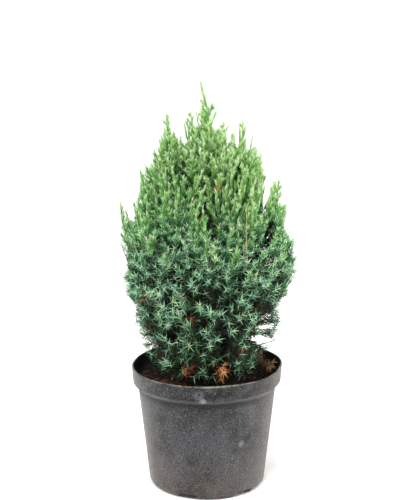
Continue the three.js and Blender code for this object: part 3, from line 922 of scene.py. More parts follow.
def scattered(count, reach, gathered=0.0):
    """Places on the soil, spread over its surface, with a share of them gathered on one side"""
    bearing = rng.uniform(0, 2 * math.pi, count)
    across = reach * np.sqrt(rng.uniform(0.02, 1, count))
    near = rng.uniform(0, 1, count) < gathered
    bearing = np.where(near, np.radians(rng.normal(*FIBRE_SIDE, count)), bearing)
    across = np.where(near, reach * np.sqrt(rng.uniform(0.3, 1, count)), across)
    x, y = across * np.cos(bearing), across * np.sin(bearing)
    return np.stack([x, y, soil_height(x, y)], axis=-1)


def make_crumbs():
    """Crumbs of peat: small lumps with eight uneven corners"""
    block = np.array([[x, y, z] for x in (-1, 1) for y in (-1, 1) for z in (-1, 1)], float)
    sides = np.array([[0, 1, 3, 2], [4, 6, 7, 5], [0, 4, 5, 1], [2, 3, 7, 6], [0, 2, 6, 4], [1, 5, 7, 3]])
    size = rng.uniform(0.5, 1.7, (CRUMBS, 1, 1)) ** 1.2
    shape = block[None] * size * rng.uniform(0.45, 1.1, (CRUMBS, 8, 3))
    turn = rng.uniform(0, math.pi, CRUMBS)
    cos, sin = np.cos(turn)[:, None], np.sin(turn)[:, None]
    x, y = shape[..., 0] * cos - shape[..., 1] * sin, shape[..., 0] * sin + shape[..., 1] * cos
    shape = np.stack([x, y, shape[..., 2] * 0.8], axis=-1)
    corners = (shape + scattered(CRUMBS, WALL_TOP_RADIUS - 3)[:, None]).reshape(-1, 3)
    crumbs = new_piece("soil_crumbs", corners, [copies(sides, CRUMBS, 8)], [soil_material()], smooth=False)
    return dress(crumbs, "potting_soil")


def make_fibres(name, material, count, length, width):
    """Flat splinters that lie on the soil at all bearings"""
    middle = scattered(count, WALL_TOP_RADIUS - 6, 0.55)
    bearing = rng.uniform(0, 2 * math.pi, count)
    lengths = rng.uniform(0.4, 1.0, count) * length
    widths = rng.uniform(0.5, 1.0, count) * width
    tilt = rng.normal(0, 0.22, count)
    along = np.stack([np.cos(bearing) * np.cos(tilt), np.sin(bearing) * np.cos(tilt), np.sin(tilt)], axis=-1)
    across = np.stack([-np.sin(bearing), np.cos(bearing), rng.normal(0, 0.3, count)], axis=-1)
    middle[:, 2] += 0.6 + 0.5 * lengths * np.abs(np.sin(tilt))
    end = along * column(0.5 * lengths)
    side = unit(across) * column(0.5 * widths)
    lift = UP * column(0.35 * widths)
    bend = UP * column(rng.uniform(0, 0.08, count) * lengths)
    corners = np.stack([
        middle - end, middle - side + bend, middle + side + bend, middle + lift + bend, middle - lift + bend,
        middle + end,
    ], axis=1)
    shell = [[0, 1, 3], [0, 3, 2], [0, 2, 4], [0, 4, 1], [5, 3, 1], [5, 2, 3], [5, 4, 2], [5, 1, 4]]
    shell = np.array(shell)
    fibres = new_piece(name, corners.reshape(-1, 3), [copies(shell, count, 6)], [material], smooth=False)
    return dress(fibres, "potting_soil")


# The trunk, the crown's outline and the limbs, as in the model's source

trunk_path = Path(spline([
    np.array([0, 0, TRUNK_FOOT]),
    np.array([0.2 * TRUNK_SWAY, -0.2 * TRUNK_SWAY, mix(TRUNK_FOOT, TRUNK_TOP, 0.33)]),
    np.array([TRUNK_SWAY, 0, mix(TRUNK_FOOT, TRUNK_TOP, 0.67)]),
    np.array([TRUNK_SWAY, 0.2 * TRUNK_SWAY, TRUNK_TOP]),
]))


def trunk_share(height):
    return np.clip((height - TRUNK_FOOT) / (TRUNK_TOP - TRUNK_FOOT), 0, 1)


def trunk_radius(share):
    flare = np.maximum(0, 1 - share * (TRUNK_TOP - TRUNK_FOOT) / TRUNK_FLARE_HEIGHT)
    return mix(TRUNK_RADIUS, TRUNK_TIP_RADIUS, share) + TRUNK_FLARE * flare ** 2


def crown_radius(height):
    up = np.clip((height - CROWN_WAIST) / (CROWN_TOP - CROWN_WAIST), 0, 1)
    down = np.clip((CROWN_WAIST - height) / (CROWN_WAIST - CROWN_FOOT), 0, 1)
    above = CROWN_RADIUS * (1 - up ** CROWN_TOP_POWER)
    below = mix(CROWN_RADIUS, CROWN_FOOT_RADIUS, down ** CROWN_FOOT_POWER)
    return np.where(np.asarray(height) > CROWN_WAIST, above, below)


def crown_middle(height):
    return LEADER_LEAN * np.clip((height - TRUNK_TOP) / (TIP_HEIGHT - TRUNK_TOP), 0, 1)


def tier_limb(tier, row, i):
    def play(draw):
        return 2 * chance(row, i, draw) - 1

    bearing = math.radians(tier["turn"] + 360 / tier["count"] * i + BEARING_PLAY * play(1))
    out = np.array([math.cos(bearing), math.sin(bearing), 0])
    tip = tier["tip"] - tier["tilt"] * math.cos(bearing) + HEIGHT_PLAY * play(2)
    reach = float(crown_radius(tip))
    root = trunk_path.at(trunk_share(tier["leave"] + LEAVE_STAGGER * (i % 2)))
    rise = tip - root[2]
    limb = Path(bezier([
        root,
        root * (1, 1, 0) + out * tier["run"] * reach + UP * (root[2] + 0.12 * rise),
        out * tier["bow"] * reach + UP * (root[2] + 0.5 * rise),
        out * reach + UP * tip,
    ]))
    return dict(
        name=f"{tier['name']}_{i + 1}",
        tier=tier["name"],
        key=100 * row + i,
        out=out,
        bough=limb.part(0, BOUGH_SHARE),
        stem=limb.part(BOUGH_SHARE + GAP / limb.length, 1),
        stem_radius=BOUGH_END_RADIUS,
        stems=tier["stems"],
        spread=tier["spread"],
    )


def leader_limb():
    base = trunk_path.at(1.0)
    leader = Path(bezier([
        base + UP * GAP,
        base * (1, 1, 0) + UP * mix(base[2], TIP_HEIGHT, 0.4),
        np.array([0.3 * LEADER_LEAN, 0, mix(base[2], TIP_HEIGHT, 0.7)]),
        np.array([LEADER_LEAN, 0, TIP_HEIGHT]),
    ]))
    return dict(
        name="leader",
        tier="leader",
        key=100 * len(TIERS),
        out=np.array([1.0, 0, 0]),
        bough=None,
        stem=leader,
        stem_radius=TRUNK_TIP_RADIUS,
        stems=LEADER_STEMS,
        spread=LEADER_SPREAD,
    )


def on_picture(points):
    """Where points fall in the picture, in pixels from its left and top"""
    reach = points * MM - np.array(CAMERA_PLACE)
    cos, sin = math.cos(CAMERA_PITCH), math.sin(CAMERA_PITCH)
    depth = reach[:, 1] * cos - reach[:, 2] * sin
    down = -reach[:, 1] * sin - reach[:, 2] * cos
    x = PHOTO_WIDTH / 2 + FOCAL_PIXELS * reach[:, 0] / depth
    y = PHOTO_HEIGHT / 2 + FOCAL_PIXELS * down / depth
    return x, y


def in_model(x, y, place):
    """The point of the model that the picture shows at a pixel, at a depth given by its place along Y"""
    away = place * MM - CAMERA_PLACE[1]
    below = math.atan((y - PHOTO_HEIGHT / 2) / FOCAL_PIXELS)
    down = below + CAMERA_PITCH
    across = (x - PHOTO_WIDTH / 2) / FOCAL_PIXELS * away * math.cos(below) / math.cos(down)
    height = CAMERA_PLACE[2] - away * math.tan(down)
    return np.array([CAMERA_PLACE[0] + across, away + CAMERA_PLACE[1], height]) / MM


def stem_inset(height):
    return STEM_INSET * np.interp(height, INSET_HEIGHTS, [0, 1, 1, 0])


def drawn_in(stem, tip_in_picture):
    """The stem set back from the outline where the crown is fullest, so that its shoots reach the outline,
    and bent so that its tip is where the picture shows it"""
    across = unit(stem.points * (1, 1, 0))
    set_back = stem_inset(stem.points[:, 2]) * ease(stem.run, 0, 40)
    points = stem.points - across * column(set_back)
    if tip_in_picture:
        shift = in_model(*tip_in_picture, points[-1, 1]) - points[-1]
        points = points + column(ease(stem.run / stem.length, 0.25, 1)) * shift
    return Path(points)


def drawn_through(stem, places):
    """The stem from its root through points of the picture, each at the depth that the stem has there"""
    depths = stem.at(np.linspace(0, 1, len(places) + 1))[1:, 1]
    corners = [stem.points[0]] + [in_model(x, y, depth) for (x, y), depth in zip(places, depths)]
    return Path(spline(corners))


limbs = [tier_limb(tier, row, i) for row, tier in enumerate(TIERS) for i in range(tier["count"])]
for limb in limbs:
    limb["stem"] = drawn_in(limb["stem"], TIPS_IN_PICTURE.get(limb["name"]))
    if limb["name"] in STEMS_IN_PICTURE:
        limb["stem"] = drawn_through(limb["stem"], STEMS_IN_PICTURE[limb["name"]])
limbs.append(leader_limb())
limb_numbers = {limb["name"]: number for number, limb in enumerate(limbs)}
LOW_LIMB, BARE_LIMB, LEADER = limb_numbers["skirt_1"], limb_numbers["upper_6"], limb_numbers["leader"]
stem_lines = np.array([limb["stem"].at(np.linspace(0, 1, 11)) for limb in limbs])
bough_lines = np.array([limb["bough"].at(np.linspace(0, 1, 7)) for limb in limbs if limb["bough"]])
trunk_line = trunk_path.at(np.linspace(0, 1, 11))[None]


def distances(points, lines):
    """How far each point is from each line, as a table with a row for each point"""
    starts, steps = lines[:, :-1], np.diff(lines, axis=1)
    table = np.empty((len(points), len(lines)))
    for first in range(0, len(points), 3000):
        reach = points[first:first + 3000, None, None] - starts[None]
        share = np.clip((reach * steps).sum(-1) / (steps * steps).sum(-1), 0, 1)
        table[first:first + 3000] = np.linalg.norm(reach - steps * share[..., None], axis=-1).min(-1)
    return table


def inside_crown(points, margin=0.0):
    across = np.hypot(points[:, 0] - crown_middle(points[:, 2]), points[:, 1])
    free = (across < crown_radius(points[:, 2]) - margin) & (points[:, 2] < TIP_HEIGHT + 0.5)
    free &= points[:, 2] > SOIL_TOP + CLEAR_OF_POT
    rim_clear = WALL_TOP_RADIUS - 2 * CLEAR_OF_POT
    return free & ~((points[:, 2] < POT_HEIGHT + CLEAR_OF_POT) & (across > rim_clear))


def is_free(points, owner, margin=0.0, mingle=0.0):
    """Whether each point keeps to its mass's space. Fine shoots may mingle that far with a neighbour's."""
    free = inside_crown(points, margin)
    bark = trunk_radius(trunk_share(points[:, 2])) + CLEAR_OF_LIMB + margin
    free &= (distances(points, trunk_line)[:, 0] > bark) | (owner == LEADER)
    free &= distances(points, bough_lines).min(1) > BOUGH_RADIUS + CLEAR_OF_LIMB + margin
    table = distances(points, stem_lines)
    rows = np.arange(len(points))
    own = table[rows, owner] + CLEAR_OF_NEIGHBOUR + margin - mingle
    table[rows, owner] = np.inf
    return free & (table.min(1) > own)


# Twigs. A twig is a curve with three corners, and a Twigs table holds many of them.

class Twigs:
    """Many twigs: the three corners of each, the mass that it belongs to, its radii at root and tip,
    the share that is bare of needles, and how far its shoots may stand out of the crown's surface"""

    def __init__(self, corners, owner, radii, bare, proud=0.0):
        self.corners = np.asarray(corners, float)
        count = len(self.corners)
        self.owner = np.broadcast_to(owner, count).astype(int)
        self.radii = np.broadcast_to(np.asarray(radii, float), (count, 2))
        self.bare = np.broadcast_to(bare, count).astype(float)
        self.proud = np.broadcast_to(proud, count).astype(float)
        self.length = np.linalg.norm(np.diff(self.corners, axis=1), axis=-1).sum(1)

    def __len__(self):
        return len(self.corners)

    def chosen(self, which):
        return Twigs(
            self.corners[which], self.owner[which], self.radii[which], self.bare[which], self.proud[which]
        )

    def at(self, which, share):
        """Points on the twigs that which names, at these shares"""
        share = column(share)
        a, b, c = (self.corners[which, k] for k in range(3))
        return mix(mix(a, b, share), mix(b, c, share), share)

    def heading(self, which, share):
        share = column(share)
        a, b, c = (self.corners[which, k] for k in range(3))
        return unit(mix(b - a, c - b, share))

    def each_at(self, share):
        """The point of every twig at the same share"""
        return self.at(np.arange(len(self)), np.full(len(self), share))

    def middles(self):
        return self.each_at(0.5)

    def portion(self, start, end, bare=0.0):
        """The stretch of each twig between two shares of its length"""
        a, b, c = (self.corners[:, k] for k in range(3))
        corners = [
            mix(mix(a, b, first), mix(b, c, first), second)
            for first, second in ((start, start), (start, end), (end, end))
        ]
        radii = np.stack([mix(self.radii[:, 0], self.radii[:, 1], share) for share in (start, end)], axis=-1)
        return Twigs(np.stack(corners, axis=1), self.owner, radii, bare, self.proud)


def together(*tables):
    """One table of several tables' twigs"""
    names = ("corners", "owner", "radii", "bare", "proud")
    return Twigs(*[np.concatenate([getattr(table, name) for table in tables]) for name in names])


def side_stem(limb, share, turn, size, model_own):
    """A side stem leaves the stem in a spiral, spreads, and turns up, as in the model's source. The finer
    ones turn the way that the shoots round them grow."""
    root = limb["stem"].at(share)
    along = limb["stem"].heading(share)
    sideways = unit(limb["out"] - along * (limb["out"] @ along))
    away = sideways * math.cos(turn) + np.cross(along, sideways) * math.sin(turn)
    length = limb["spread"] * mix(1, 0.55, share) * size
    rise = UP if model_own else growth_heading(root[None])[0]
    lift = unit(mix(along, rise, 0.5)) * (0.6 * length + (0.9 if model_own else 0.6) * SPRAY_LENGTH)
    return [root, root + away * 0.6 * length + along * 0.1 * length, root + away * 0.8 * length + lift]


def roomiest_side_stem(limb, index, step):
    """The longest side stem that fits, with three finer ones between each two of the model's own"""
    i, between = divmod(step, FINER)
    share = mix(SIDE_STEMS_FROM, SIDE_STEMS_TO, step / FINER / (limb["stems"] - 1))
    keys = (limb["key"], i, between) if between else (limb["key"], i)
    first = GOLDEN_TURN * i + 360 / FINER * between + TURN_PLAY * chance(*keys)
    tries = [
        side_stem(limb, share, math.radians(first + 360 / SIDE_STEM_TURNS * attempt), size, between == 0)
        for size in (SIDE_STEM_SIZES if between == 0 else FINER_SIZES)
        for attempt in range(SIDE_STEM_TURNS)
    ]
    table = Twigs(tries, index, (SIDE_STEM_RADIUS, SIDE_STEM_TIP), SIDE_STEM_BARE)
    tips = table.corners[:, 2]
    inset = RAGGED_STEMS * chance(limb["key"], i, between, 7) + stem_inset(tips[:, 2])
    free = inside_crown(tips, inset) & behind_tip(limb, tips)
    for at, margin in SIDE_STEM_TESTS:
        free &= is_free(table.each_at(at), table.owner, margin, SIDE_STEM_MINGLE)
    return tries[int(np.argmax(free))] if free.any() else None


def behind_tip(limb, points):
    """Whether points keep back from the tip of their limb, so that it stands out as a spear"""
    tip, heading = limb["stem"].at(1.0), limb["stem"].heading(1.0)
    lead, fall = SPEAR_LEADS[limb["tier"]]
    along = (points - tip) @ heading
    aside = np.linalg.norm(points - tip - column(along) * heading, axis=-1)
    return along < -lead - fall * aside


def nearest(seats, place):
    """The number of the seat nearest to the place"""
    return int(np.argmin(np.linalg.norm(seats - place, axis=-1)))


def crown_place(across, bearing, height):
    """The point at a distance and a bearing from the crown's middle at that height"""
    middle = float(crown_middle(height))
    return np.array([middle + across * math.cos(bearing), across * math.sin(bearing), height])


def grow_side_stems():
    curves, owners = [], []
    for index, limb in enumerate(limbs):
        for step in range(FINER * (limb["stems"] - 1) + EXTRA_SIDE_STEMS + 1):
            curve = roomiest_side_stem(limb, index, step)
            if curve is not None:
                curves.append(curve)
                owners.append(index)
    for share, turn, tip in LOW_BRANCHES:
        root = limbs[LOW_LIMB]["stem"].at(share)
        curves.append([root, in_model(*turn, root[1]), in_model(*tip, LOW_BRANCH_PLACE)])
        owners.append(LOW_LIMB)
    return out_of_sky(Twigs(curves, np.array(owners), (SIDE_STEM_RADIUS, SIDE_STEM_TIP), SIDE_STEM_BARE))


def out_of_sky(table, shares=(0.55, 0.8, 1.0)):
    """The twigs that don't pass through a gap at these shares of their length"""
    closing = [in_sky(table.each_at(share)) for share in shares]
    closing += [in_gaps(table.each_at(share), OPEN_GAPS) for share in OPEN_GAP_TESTS]
    return table.chosen(~np.any(closing, axis=0))


def grow_spears():
    """Upright stems that rise from the limbs' stems to the crown's upper surface, at all heights"""
    seats = np.array([limb["stem"].at(np.linspace(0.05, 0.85, 17)) for limb in limbs])
    curves, owners = [], []
    for i in range(SPEAR_COUNT):
        play, depth, turn = (chance(draw, i) for draw in SPEAR_DRAWS)
        low = math.sqrt((i + 0.5) / SPEAR_COUNT)
        height = mix(SPEARS_TOP, SPEARS_FOOT, low) + SPEAR_HEIGHT_PLAY * (play - 0.5)
        across = max(6.0, float(crown_radius(height)) - SPEAR_INSET - mix(*SPEAR_DEPTHS, low) * depth)
        tip = crown_place(across, math.radians(GOLDEN_TURN * i + SPEAR_TURN_PLAY * turn), height)
        middle = float(crown_middle(height))
        seat = np.array([middle + 0.75 * (tip[0] - middle), 0.75 * tip[1], height - SPEAR_LENGTH])
        owner, place = np.unravel_index(nearest(seats, seat), seats.shape[:2])
        root = seats[owner, place]
        if root[2] > height - 0.5 * SPEAR_LENGTH or np.linalg.norm(root - seat) > SPEAR_SEAT_REACH:
            continue
        curves.append([root, mix(root, tip, np.array([0.75, 0.75, 0.4])), tip])
        owners.append(owner)
    spears = Twigs(curves, np.array(owners), (SIDE_STEM_RADIUS, SIDE_STEM_TIP), SPEAR_BARE)
    tests = [is_free(spears.each_at(share), spears.owner, 0.0, SPEAR_MINGLE) for share in (0.3, 0.6, 1.0)]
    return out_of_sky(spears.chosen(np.all(tests, axis=0)))


def grow_picture_spears():
    """Spears that the picture shows on the crown's outline, each from the nearest limb's stem"""
    seats = np.array([limb["stem"].at(np.linspace(0.05, 0.9, 18)) for limb in limbs])
    curves, owners = [], []
    for x, y in PICTURE_SPEARS:
        tip = in_model(x, y, 0)
        heading = growth_heading(tip[None])[0]
        seat = tip - PICTURE_SPEAR_LENGTH * heading
        owner, place = np.unravel_index(nearest(seats, seat), seats.shape[:2])
        root = seats[owner, place]
        curves.append([root, mix(seat, tip, 0.35) + 0.15 * (root - seat), tip])
        owners.append(owner)
    radii = (SIDE_STEM_RADIUS, SIDE_STEM_TIP)
    return Twigs(curves, np.array(owners), radii, SPEAR_BARE, PICTURE_SPEAR_PROUD)


def grow_leader_shoots():
    """The small shoots high on the leader"""
    stem = limbs[LEADER]["stem"].points
    curves = []
    for (root_x, root_y), (tip_x, tip_y) in LEADER_SHOOTS:
        root, tip = in_model(root_x, root_y, 0), in_model(tip_x, tip_y, 0)
        root = stem[nearest(stem, root)]
        curves.append([root, mix(root, tip, 0.5) + 0.08 * (tip - root)[0] * np.array([1.0, 0, 0]), tip])
    return Twigs(curves, LEADER, (0.5, 0.25), 0.0)


def grow_gap_sprays(carriers, leafy, habit):
    """Sprays where the crown is still bare at the habit's depths, each from the nearest stem"""
    points = np.concatenate([leafy.each_at(share) for share in (0.4, 1.0)])
    tree = KDTree(len(points))
    for number, point in enumerate(points):
        tree.insert(point, number)
    tree.balance()
    seats, owners = carrier_seats(carriers)
    curves, mine, taken = [], [], np.empty((0, 3))
    for i in range(habit["tries"]):
        height = mix(habit["foot"], habit["top"], (i + 0.5) / habit["tries"])
        across = max(8.0, float(crown_radius(height)) - mix(*habit["depths"], chance(SPRAY_DRAW, i)))
        place = crown_place(across, math.radians(GOLDEN_TURN * i), height)
        room = float(by_height(habit["room"], height))
        if tree.find(place)[2] < room or (len(taken) and np.linalg.norm(taken - place, axis=1).min() < room):
            continue
        heading = growth_heading(place[None])[0]
        near = nearest(seats, place - by_height(habit["length"], height) * heading)
        curves.append([seats[near], mix(seats[near], place, 0.6) - 2 * UP, place + 4 * heading])
        mine.append(owners[near])
        taken = np.concatenate([taken, place[None]])
    sprays = Twigs(curves, np.array(mine), (0.55, 0.25), 0.3)
    tips = sprays.corners[:, 2]
    return sprays.chosen(inside_crown(tips, 0) & ~in_sky(tips) & ~in_shade(tips) & ~hidden_by(tips))


def grow_bare_stem():
    """The stem on the right that lies bare, from the stem that carries it up the front of the crown"""
    foot = limbs[BARE_LIMB]["stem"].at(BARE_STEM_FOOT)
    places = [foot] + [in_model(x, y, place) for x, y, place in BARE_STEM]
    return Twigs([places[:3], places[2:5], places[4:]], BARE_LIMB, BARE_STEM_RADII, 0.0)


def carrier_seats(carriers):
    """Points on the stems where a spray may leave, and the masses that they belong to"""
    shares = (0.1, 0.3, 0.5, 0.7, 0.9)
    seats = np.concatenate([carriers.each_at(share) for share in shares])
    return seats, np.tile(carriers.owner, len(shares))


def in_shade(points):
    """Whether points would close one of the dark openings at the front of the crown"""
    x, y = on_picture(points)
    closed = in_gaps(points, SHADE_GAPS)
    outer = crown_radius(points[:, 2]) - np.hypot(points[:, 0], points[:, 1]) < SHADE_DEPTH
    stem_x, stem_y, stem_place = np.array(BARE_STEM)[::-1].T
    aside = np.abs(x - np.interp(y, stem_y, stem_x)) < BARE_STEM_OPEN
    shown = (y > BARE_STEM_SHOWN[0]) & (y < BARE_STEM_SHOWN[1])
    before = aside & shown & (points[:, 1] < np.interp(y, stem_y, stem_place) + 1)
    return closed & outer & (points[:, 1] < -20) | before


def grow_stems():
    """The masses' own stems, each as a woody lower and a leafy upper length"""
    halves = []
    for start, middle, end in ((0, 0.25, 0.5), (0.5, 0.75, 1)):
        corners = np.array([limb["stem"].at([start, middle, end]) for limb in limbs])
        corners[:, 1] = 2 * corners[:, 1] - 0.5 * (corners[:, 0] + corners[:, 2])
        halves.append(corners)
    every = np.arange(len(limbs))
    proud = np.array([
        PICTURE_SPEAR_PROUD if limb["name"] in TIPS_IN_PICTURE else TIP_STANDS_PROUD[limb["tier"]]
        for limb in limbs
    ])
    return together(
        Twigs(halves[0], every, (BOUGH_END_RADIUS, 0.9), 0.6),
        Twigs(halves[1], every, (0.9, 0.35), 0.0, proud),
    )


def growth_heading(points):
    """Where shoots turn as they grow: out over the soil, and up in the crown"""
    out = points * (1, 1, 0) - crown_middle(points[:, 2])[:, None] * (1, 0, 0)
    out = out / np.maximum(np.linalg.norm(out, axis=1, keepdims=True), 1)
    rise = np.interp(points[:, 2], GROWTH_HEIGHTS, GROWTH_RISES)
    spread = np.interp(points[:, 2], GROWTH_HEIGHTS, GROWTH_SPREADS)
    return unit(out * column(spread) + UP * column(rise))


def by_height(low_and_high, heights):
    """A value that goes from its low one to its high one up through the crown"""
    return mix(low_and_high[0], low_and_high[1], ease(heights, LOW_GROWTH, HIGH_GROWTH))


def in_gaps(points, gaps):
    """Whether points would close one of the gaps that are given as ellipses in the picture"""
    x, y = on_picture(points)
    closed = np.zeros(len(points), bool)
    for middle_x, middle_y, half_width, half_height in gaps:
        closed |= ((x - middle_x) / half_width) ** 2 + ((y - middle_y) / half_height) ** 2 < 1
    return closed


def in_sky(points):
    """Whether points would close a gap through which the photograph shows sky, or leave the model's box"""
    return in_gaps(points, SKY_GAPS + OPEN_GAPS) | ~in_box(points, TWIG_IN_BOX)


def in_box(points, margin):
    """Whether points keep within the model's box, with a little to spare for the needles"""
    low, high = np.array(cad_box) / MM
    spare = BOX_SPARE * (high - low) - margin
    return ((points > low - spare) & (points < high + spare)).all(axis=-1)


def grow_shoots(carriers, habit):
    """Shoots in a spiral round their carriers, that leave at the angle lean, turn the share pull towards the
    way of growth and are shorter towards the carrier's tip. One with no room is shortened, or left out."""
    first, last = habit["first"], habit["last"]
    spacing = by_height(habit["spacing"], carriers.middles()[:, 2])
    counts = np.maximum(1, carriers.length * (last - first) / spacing).astype(int)
    which = np.repeat(np.arange(len(carriers)), counts)
    place = np.arange(len(which)) - np.repeat(np.cumsum(counts) - counts, counts)
    share = mix(first, last, (place + rng.uniform(0.1, 0.9, len(which))) / counts[which])
    root, along = carriers.at(which, share), carriers.heading(which, share)
    owner = carriers.owner[which]
    side = unit(np.cross(along, unit(rng.normal(size=(len(carriers), 3)))[which]))
    turn = np.radians(GOLDEN_TURN * place + rng.uniform(0, SHOOT_PLAY["turn"], len(which)))
    away = side * column(np.cos(turn)) + np.cross(along, side) * column(np.sin(turn))
    angle = np.radians(by_height(habit["lean"], root[:, 2]) + rng.normal(0, SHOOT_PLAY["lean"], len(which)))
    heading = along * column(np.cos(angle)) + away * column(np.sin(angle))
    goal = growth_heading(root)
    heading = unit(mix(heading, goal, column(by_height(habit["pull"], root[:, 2]))))
    remaining = (1 - share) * carriers.length[which]
    longest = by_height(habit["longest"], root[:, 2])
    length = np.minimum(longest, habit["shortest"] + habit["taper"] * remaining)
    behind = TIP_CLEARANCE + by_height(BEHIND_TIP, root[:, 2]) * remaining
    length = np.minimum(length * rng.uniform(*SHOOT_PLAY["length"], len(which)), behind)
    proud = carriers.proud[which]
    ragged = habit["ragged"] * rng.uniform(0, 1, len(which)) * (proud == 0) - proud
    slender = (owner == LEADER) & (root[:, 2] > SLENDER_ABOVE)
    room = np.zeros(len(which), bool)
    for size in SHOOT_SIZES:
        tried = np.where(room, length, length * size)
        tip = root + heading * column(tried)
        inset = np.interp(tip[:, 2], OUTLINE_INSETS["heights"], OUTLINE_INSETS["insets"]) * (proud == 0)
        free = is_free(tip, owner, -proud, habit["mingle"]) & inside_crown(tip, ragged + inset)
        free &= ~slender & ~in_sky(tip) & ~in_shade(tip)
        length = np.where(room, length, tried)
        room |= free
        if room.all():
            break
        length = np.where(room, length, length / size)
    room &= ~in_sky(root + heading * column(0.6 * length))
    middle = root + heading * column(0.5 * length)
    tip = middle + unit(heading + SHOOT_TURNS_UP * goal) * column(0.5 * length)
    corners = np.stack([root, middle, tip], axis=1)[room]
    return Twigs(corners, owner[room], habit["radii"], habit["bare"], proud[room])


def tubes(table, sides, steps):
    """Corners and faces of a closed tapering tube along each twig, drawn to a point at the tip"""
    every = np.arange(len(table))
    steady = unit(np.cross(table.corners[:, 2] - table.corners[:, 0], ASKEW))
    rings = []
    for share in np.arange(steps) / steps:
        along = table.heading(every, np.full(len(table), share))
        side = unit(np.cross(along, np.cross(steady, along)))
        other = np.cross(along, side)
        radius = mix(table.radii[:, 0], table.radii[:, 1], share)
        middle = table.each_at(share)
        for turn in 2 * math.pi * np.arange(sides) / sides:
            rings.append(middle + (side * math.cos(turn) + other * math.sin(turn)) * column(radius))
    corners = np.stack(rings + [table.corners[:, 2]], axis=1).reshape(-1, 3)
    here = np.arange(sides)
    last = (steps - 1) * sides
    point = np.stack([last + here, last + (here + 1) % sides, np.full(sides, steps * sides)], axis=-1)
    groups = [faces for faces in (ring_faces(steps, sides)[0], point, here[::-1][None]) if len(faces)]
    return corners, [copies(faces, len(table), steps * sides + 1) for faces in groups]


# Needles

def needle_places(table, coarse=1.0):
    """Where the needles sit: for each one its twig, its share of the length, and its bearing round it"""
    opened = openness(table.middles()[:, 2])
    spacing = coarse * mix(CLOSE_WHORLS, OPEN_WHORLS, opened)
    whorls = np.maximum(2, table.length * (1 - table.bare) / spacing).astype(int)
    which = np.repeat(np.arange(len(table)), whorls)
    place = np.arange(len(which)) - np.repeat(np.cumsum(whorls) - whorls, whorls)
    share = mix(table.bare[which], 1.0, (place + 0.5) / whorls[which])
    turn = math.pi / 3 * place + rng.uniform(0, 2 * math.pi, len(table))[which]
    which, share = np.repeat(which, 3), np.repeat(share, 3)
    turn = np.repeat(turn, 3) + np.tile([0, 2 * math.pi / 3, 4 * math.pi / 3], len(turn))
    turn += rng.normal(0, 0.2, len(turn))
    share = np.clip(share + rng.normal(0, 0.012, len(share)), 0, 0.995)
    return which, share, turn


def openness(height):
    """How far the needles stand off: 0 where they lie along the upper shoots, 1 low in the crown"""
    return 1 - ease(height, OPEN_BELOW, CLOSED_ABOVE)


def needle_meshes(table, which, share, turn, coarse=1.0, wilted=False):
    """Four corners for each needle, an awl with a keel: two edges and the keel at its foot, and its point"""
    root, along = table.at(which, share), table.heading(which, share)
    side = unit(np.cross(along, ASKEW))
    out = side * column(np.cos(turn)) + np.cross(along, side) * column(np.sin(turn))
    across = np.cross(along, out)
    opened = openness(root[:, 2])
    tipness = share ** 3
    count = len(which)
    angle = mix(CLOSE_ANGLE, OPEN_ANGLE, opened) * mix(1, TIP_ANGLE, tipness)
    angle = np.radians(angle + rng.normal(0, 7, count))
    on_leader = (table.owner[which] == LEADER) & (root[:, 2] > SLENDER_ABOVE)
    angle = angle + LEADER_OPENS * on_leader
    length = mix(SHORT_NEEDLE, LONG_NEEDLE, opened) * mix(1, TIP_LENGTH, tipness)
    length = length * rng.uniform(0.78, 1.14, count)
    width = coarse * mix(BROAD_NEEDLE, NARROW_NEEDLE, opened) * mix(1, TIP_WIDTH, tipness)
    width = width * (1 + LEADER_WIDENS * on_leader)
    if wilted:
        angle = angle + rng.normal(0.0, WILTED["play"], count)
        width = width * WILTED["width"]
        length = length * WILTED["length"]
    heading = along * column(np.cos(angle)) + out * column(np.sin(angle))
    face = along * column(np.sin(angle)) - out * column(np.cos(angle))
    twig_radius = mix(table.radii[which, 0], table.radii[which, 1], share)
    foot = root + out * column(0.5 * twig_radius)
    edge = across * column(0.5 * width)
    tip = foot + heading * column(length) + face * column(NEEDLE_CURL * length)
    if wilted:
        tip = tip - UP * column(rng.uniform(0, WILTED["droop"], count) * length)
    return np.stack([foot + edge, foot - edge, foot - face * column(NEEDLE_KEEL * width), tip], axis=1)


def stood_for(owner):
    """The names of the masses that these owners are"""
    return [f"foliage_{limbs[i]['name']}" for i in np.unique(owner)]


def plain_material(name, shade, roughness, sheen=0.0):
    material = bpy.data.materials.new(name)
    material.use_nodes = True
    shader = material.node_tree.nodes["Principled BSDF"]
    shader.inputs["Base Color"].default_value = shade
    shader.inputs["Roughness"].default_value = roughness
    shader.inputs["Sheen Weight"].default_value = sheen
    shader.inputs["Specular IOR Level"].default_value = 0.22
    return material


def make_needle_piece(kind, corners, body, bloom, owners):
    """Many needles as one piece, green outside and with a paler bloom on their inner faces"""
    name = f"needles_{kind}"
    materials = [
        plain_material(name, colour(*body), 0.5),
        plain_material(f"{name}_bloom", colour(*bloom), 0.7, 0.15),
    ]
    sides = NEEDLE_FACE_MATERIAL * len(corners)
    faces = copies(NEEDLE_FACES, len(corners), 4)
    piece = new_piece(name, corners.reshape(-1, 3), [faces], materials, sides, smooth=False)
    dress(piece, "needles", *stood_for(owners))


# Green sprays at the crown's foot, each with its middle and its reach
FOOT_SPRAYS = [
    (in_model(151, 352, -15), 9.0),
    (np.array([-40.0, -42, 149]), 9.0),
    (np.array([-2.0, -56, 148]), 9.0),
    (np.array([37.0, -42, 158]), 11.0),
    (np.array([43.0, -38, 146]), 10.0),
    (np.array([-17.0, -56, 166]), 10.0),
    (np.array([10.0, -58, 168]), 10.0),
    (np.array([33.0, -54, 154]), 9.0),
    (np.array([-30.0, -50, 164]), 10.0),
    (in_model(190, 306, -42), 10.0),
    (in_model(184, 296, -42), 10.0),
]


